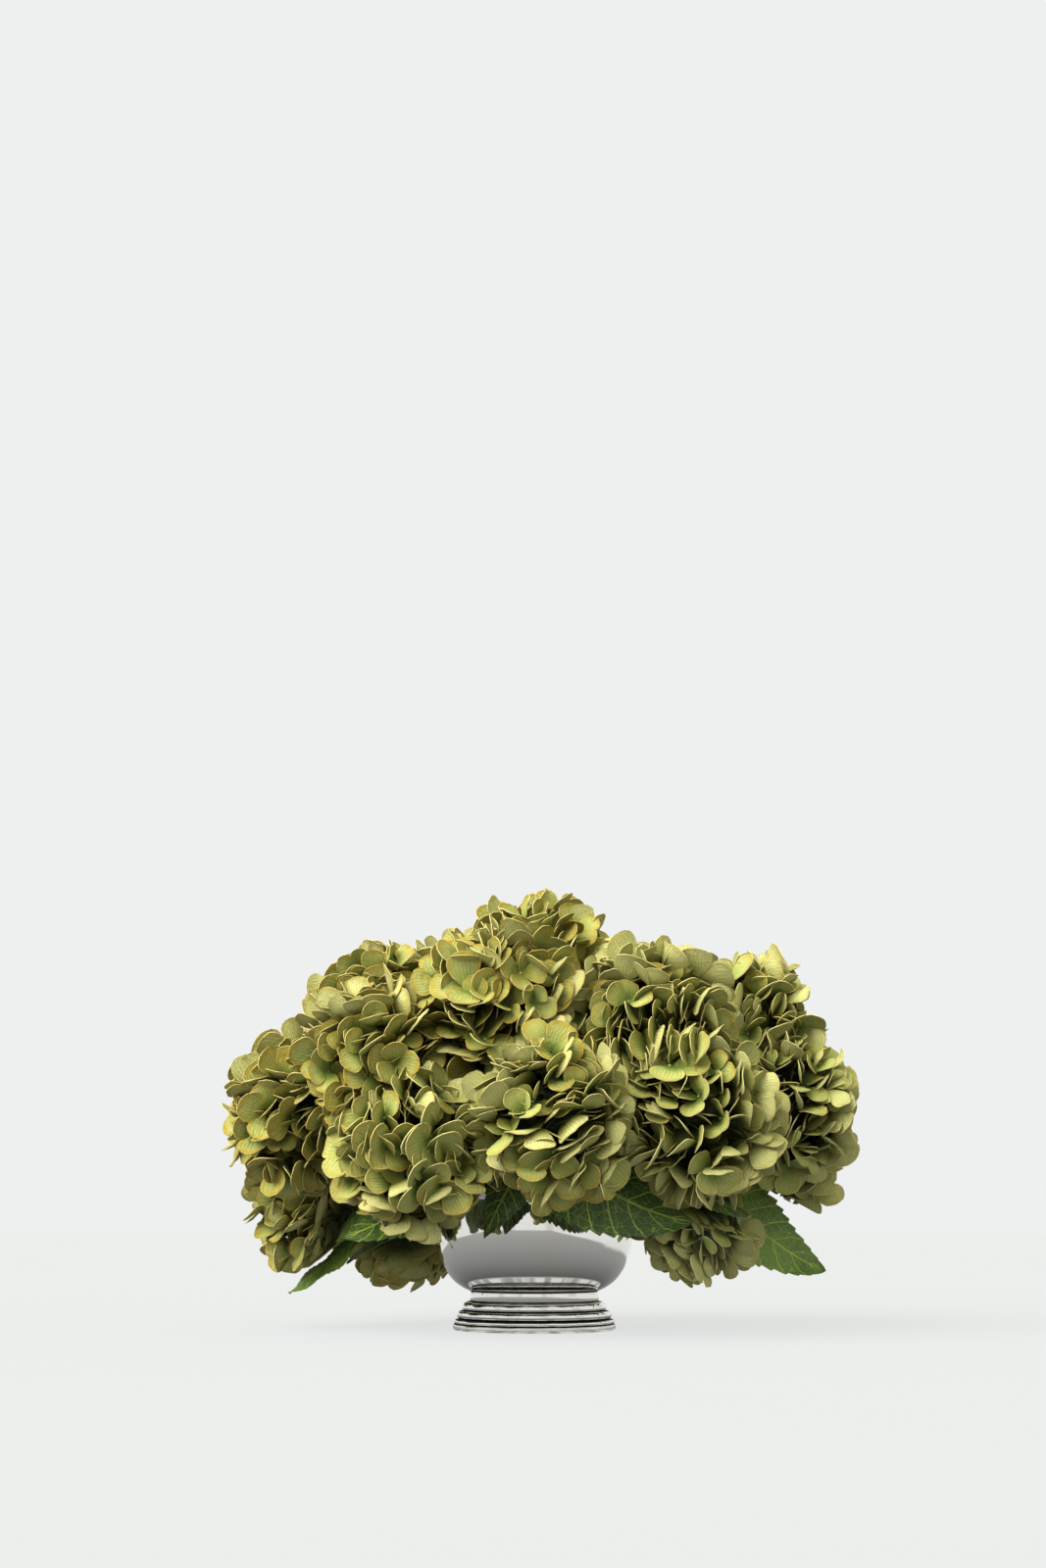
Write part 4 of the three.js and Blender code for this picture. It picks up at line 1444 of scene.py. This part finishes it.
def settled(petals):
    """Turns petals about their roots until those that meet lie side by side, like pages."""
    floret = np.array([p[0] for p in petals])
    root, way, face = (np.array([list(p[k]) for p in petals]) for k in (1, 2, 3))
    arm = np.array([[p[4] * 0.6] for p in petals])
    tree = kdtree.KDTree(len(petals))
    for i, place in enumerate(root + way * arm):
        tree.insert(place, i)
    tree.balance()
    pairs = [
        (i, j)
        for i, place in enumerate(root + way * arm)
        for _, j, _ in tree.find_range(place, NEIGHBOUR)
        if i < j and floret[i] != floret[j]
    ]
    one, two = np.array(pairs).T
    first_way, first_face = way.copy(), face.copy()
    for _ in range(SETTLE_ROUNDS):
        middle = root + way * arm
        gap = middle[two] - middle[one]
        near = np.clip(1 - sizes(gap) / NEIGHBOUR, 0, 1)
        same = np.sign(dots(face[one], face[two]) + 1e-9)
        between_faces = unit(face[one] + same * face[two] + 1e-9)
        apart = dots(gap, between_faces)
        push = between_faces * np.sign(apart) * np.clip(PAGE_GAP - np.abs(apart), 0, None) * near
        turn_face = np.zeros_like(face)
        shift = np.zeros_like(way)
        np.add.at(turn_face, one, near * (same * face[two] - face[one]))
        np.add.at(turn_face, two, near * (same * face[one] - face[two]))
        np.add.at(shift, one, -push)
        np.add.at(shift, two, push)
        way = unit(way + shift / arm * 0.5 + SPRING * (first_way - way))
        face = face + ALIGN * turn_face / 3 + SPRING * (first_face - face)
        face = unit(face - way * dots(face, way))
    return way, face


def copy_of(master, matrix, tint):
    """A copy of a master piece with its own mesh, put in its place."""
    piece = bpy.data.objects.new(master.name, master.data.copy())
    piece.data.transform(matrix)
    give_tint(piece.data, tint)
    bpy.context.scene.collection.objects.link(piece)
    return piece


def stalk_copy(master, start, end, radius, tint):
    """A copy of the stalk that runs from one place to another."""
    line = end - start
    steep = abs(line.normalized().z) >= 0.9
    turn = frame_towards(line, Vector((1, 0, 0) if steep else (0.3, 0.2, 0.9)))
    size = Matrix.Diagonal((radius * MM, radius * MM, line.length * MM, 1))
    return copy_of(master, Matrix.Translation(start * MM) @ turn @ size, tint)


def build_head(name, head, florets, petals, masters, limits, ripple):
    """A flower head: florets on branching stalks, rippled, and pressed against its neighbours."""
    blades, bud, stalk, heart = masters
    middle = Vector(head[0])
    turn = frame_towards(-stem_way(head), ASIDE)
    forks = [middle + (turn @ way) * head[1] * FORK_SHARE for way in spread(9, 105)]
    pieces = [stalk_copy(stalk, stem_top(head), fork, 1.35, 0.3) for fork in forks]
    size = Matrix.Scale(head[1] * HEART_SHARE * MM, 4)
    pieces.append(copy_of(heart, Matrix.Translation(middle * MM) @ size, 0.3))
    for _, place, look, tint, *_ in florets:
        fork = min(forks, key=lambda f: (f - place).length)
        pieces.append(stalk_copy(stalk, fork, place - look * 0.4, 0.62, tint))
        matrix = Matrix.Translation(place * MM) @ frame_towards(look, ASIDE)
        pieces.append(copy_of(bud, matrix, tint))
    for root, way, face, size, kind, tint in petals:
        turn = Matrix((way.cross(face) * -1, face * -1, way)).transposed().to_4x4()
        matrix = Matrix.Translation(root * MM) @ turn @ Matrix.Scale(size * MM, 4)
        pieces.append(copy_of(blades[kind], matrix, tint))
    whole = joined(name, pieces)
    rippled = {"texture_coords": "LOCAL", "direction": "RGB_TO_XYZ", "mid_level": 0.5}
    finish_modifier(whole, "DISPLACE", texture=ripple, strength=0.0034, **rippled)
    places = pressed(places_of(whole) / MM, limits)
    set_places(whole, places * MM)
    # Painted shade: how deep each corner lies in the head, for the materials to darken by.
    out = np.linalg.norm(places - np.array(head[0]), axis=1) / head[1]
    depth = np.clip((PAINTED_SHADE_STARTS - out) / PAINTED_SHADE_RUN, 0, 1)
    mark(whole.data, "depth", depth.astype(np.float32))
    return whole


class HYDRANGEA_OT_flowers(bpy.types.Operator):
    """Fill every flower head with four-petalled florets"""

    bl_idname = "hydrangea.flowers"
    bl_label = "Flower heads"

    def execute(self, context):
        settings = context.scene.hydrangea_flowers
        finishes = [petal_face(settings), petal_underside(settings), petal_rim(settings)]
        cream, green = (
            soft_green(name, main, settings.heart, scale, settings.shade)
            for name, main, scale in (
                ("bud_cream", settings.bud, 400.0),
                ("flower_stalk", settings.stalk, 120.0),
            )
        )
        rng = random.Random(FLOWER_SEED)
        blades = [
            model_petal(f"petal_{i}", cup, curl, finishes)
            for i, (cup, curl) in enumerate(PETAL_KINDS)
        ]
        masters = (blades, model_bud(cream), model_stalk(green), model_heart(green))
        ripple = bpy.data.textures.new("petal_ripple", "CLOUDS")
        ripple.cloud_type = "COLOR"
        ripple.noise_scale = 0.015
        nodes = frame["nodes"]
        leaf_clouds = [places_of(nodes[f"leaf_{i + 1:02d}"]) / MM for i in range(len(LEAVES))]
        vase_cloud = np.concatenate([places_of(nodes[n]) / MM for n in ("bowl", "floral_foam")])
        limits = [head_limits(head, leaf_clouds, vase_cloud) for head in HEADS]
        florets = [
            floret
            for i, head in enumerate(HEADS)
            for floret in plan_head(i, head, limits[i], settings, rng)
        ]
        petals = [
            petal
            for n, (_, place, look, _, scale, shut) in enumerate(florets)
            for petal in floret_petals(n, place, look, scale, shut, settings.petal / MM, rng)
        ]
        ways, faces = settled(petals)
        for i, head in enumerate(HEADS):
            own_florets = [floret for floret in florets if floret[0] == i]
            own_petals = [
                (root, Vector(way), Vector(face), size, kind, florets[n][3])
                for (n, root, _, _, size, kind), way, face in zip(petals, ways, faces)
                if florets[n][0] == i
            ]
            name = f"hydrangea_head_{i + 1:02d}"
            whole = build_head(name, head, own_florets, own_petals, masters, limits[i], ripple)
            stand_in_for(whole, f"flower_head_{i + 1:02d}")
            whole.visible_glossy = i != UNMIRRORED
        for master in [*blades, *masters[1:]]:
            bpy.data.objects.remove(master)
        return {"FINISHED"}


# ---- floor, light and camera --------------------------------------------------------------------


def pale_room(settings):
    """An evenly pale room that lights the object more from above than from the sides."""
    world = bpy.data.worlds.new("pale_room")
    world.use_nodes = True
    tree = world.node_tree
    direction = put(tree, "TexCoord")["Generated"]
    soft = times(settings.room, *WARM)
    light = between(height_of(direction).rise(0.0, 0.9), times(soft, settings.side_light), soft)
    window = noise(stretched(direction, 3.6, 3.6, 0.05), 1.0, 1.0).rise(0.4, 0.55)
    path = put(tree, "LightPath")
    walls = between(window, times(settings.room, settings.dull_wall), settings.room)
    light = between(path["Is Glossy Ray"], light, walls)
    light = between(path["Is Camera Ray"], light, settings.room)
    feed(tree, tree.nodes["Background"], {"Color": light})
    return world


def soft_sun(name, place, energy, width):
    """A broad soft lamp that the silver doesn't mirror; width is in degrees."""
    lamp = add(bpy.ops.object.light_add, name, type="SUN", location=place)
    lamp.data.angle = math.radians(width)
    lamp.data.energy = energy
    lamp.visible_glossy = False
    lamp.rotation_euler = (LIT_PLACE - lamp.location).to_track_quat("-Z", "Y").to_euler()
    return lamp


class HYDRANGEA_OT_stage(bpy.types.Operator):
    """Lay the pale floor, light it softly and set up the camera"""

    bl_idname = "hydrangea.stage"
    bl_label = "Floor, light and camera"

    def execute(self, context):
        settings = context.scene.hydrangea_stage
        scene = context.scene
        disc = {"vertices": 96, "radius": settings.floor_size / 2, "fill_type": "NGON"}
        floor = add(bpy.ops.mesh.primitive_circle_add, "pale_floor", **disc, location=(0, 0, 0))
        edit_all()
        bpy.ops.mesh.inset(thickness=settings.floor_size / 4)
        mode("OBJECT")
        floor.data.materials.append(pale_floor(settings))
        floor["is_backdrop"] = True
        scene.world = pale_room(settings)
        key = soft_sun("key_light", KEY_PLACE, settings.key_light, KEY_WIDTH)
        key.data.color = KEY_TINGE
        soft_sun("fill_light", FILL_PLACE, settings.fill_light, FILL_WIDTH)
        camera = add(bpy.ops.object.camera_add, "photo_camera", location=CAMERA_PLACE)
        camera.rotation_euler = (math.radians(90 + CAMERA_TILT), 0, 0)
        camera.data.lens = CAMERA_LENS
        camera.data.sensor_width = SENSOR_WIDTH
        camera.data.sensor_fit = "AUTO"
        scene.camera = camera
        scene.view_settings.view_transform = "Standard"
        return {"FINISHED"}


# ---- panel and registration ---------------------------------------------------------------------

STEPS = [
    ("hydrangea_stage", HYDRANGEA_OT_stage, StageSettings),
    ("hydrangea_silver", HYDRANGEA_OT_silver, SilverSettings),
    ("hydrangea_foam", HYDRANGEA_OT_foam, FoamSettings),
    ("hydrangea_stems", HYDRANGEA_OT_stems, StemSettings),
    ("hydrangea_leaves", HYDRANGEA_OT_leaves, LeafSettings),
    ("hydrangea_flowers", HYDRANGEA_OT_flowers, FlowerSettings),
]


class HYDRANGEA_PT_panel(bpy.types.Panel):
    """The bouquet's steps with their sizes and colours"""

    bl_idname = "HYDRANGEA_PT_panel"
    bl_label = "Hydrangeas"
    bl_space_type = "VIEW_3D"
    bl_region_type = "UI"
    bl_category = "Hydrangeas"

    def draw(self, context):
        for attribute, operator, group in STEPS:
            box = self.layout.box()
            box.operator(operator.bl_idname)
            for name in group.__annotations__:
                box.prop(getattr(context.scene, attribute), name)


def register():
    """Registers the settings, the operators and the panel."""
    for attribute, operator, group in STEPS:
        bpy.utils.register_class(group)
        bpy.utils.register_class(operator)
        setattr(bpy.types.Scene, attribute, PointerProperty(type=group))
    bpy.utils.register_class(HYDRANGEA_PT_panel)


def unregister():
    """Takes them away again."""
    bpy.utils.unregister_class(HYDRANGEA_PT_panel)
    for attribute, operator, group in reversed(STEPS):
        delattr(bpy.types.Scene, attribute)
        bpy.utils.unregister_class(operator)
        bpy.utils.unregister_class(group)


def main():
    """Builds every piece in order, and works out the size of the frame and of the finished model.
    """
    register()
    bpy.ops.hydrangea.stage()
    bpy.ops.hydrangea.silver()
    bpy.ops.hydrangea.foam()
    bpy.ops.hydrangea.stems()
    bpy.ops.hydrangea.leaves()
    bpy.ops.hydrangea.flowers()
    boxes = {"cad": CAD_BOX, "visual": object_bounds()}
    lists = {name: [[float(v) for v in corner] for corner in box] for name, box in boxes.items()}


if __name__ == "__main__":
    main()
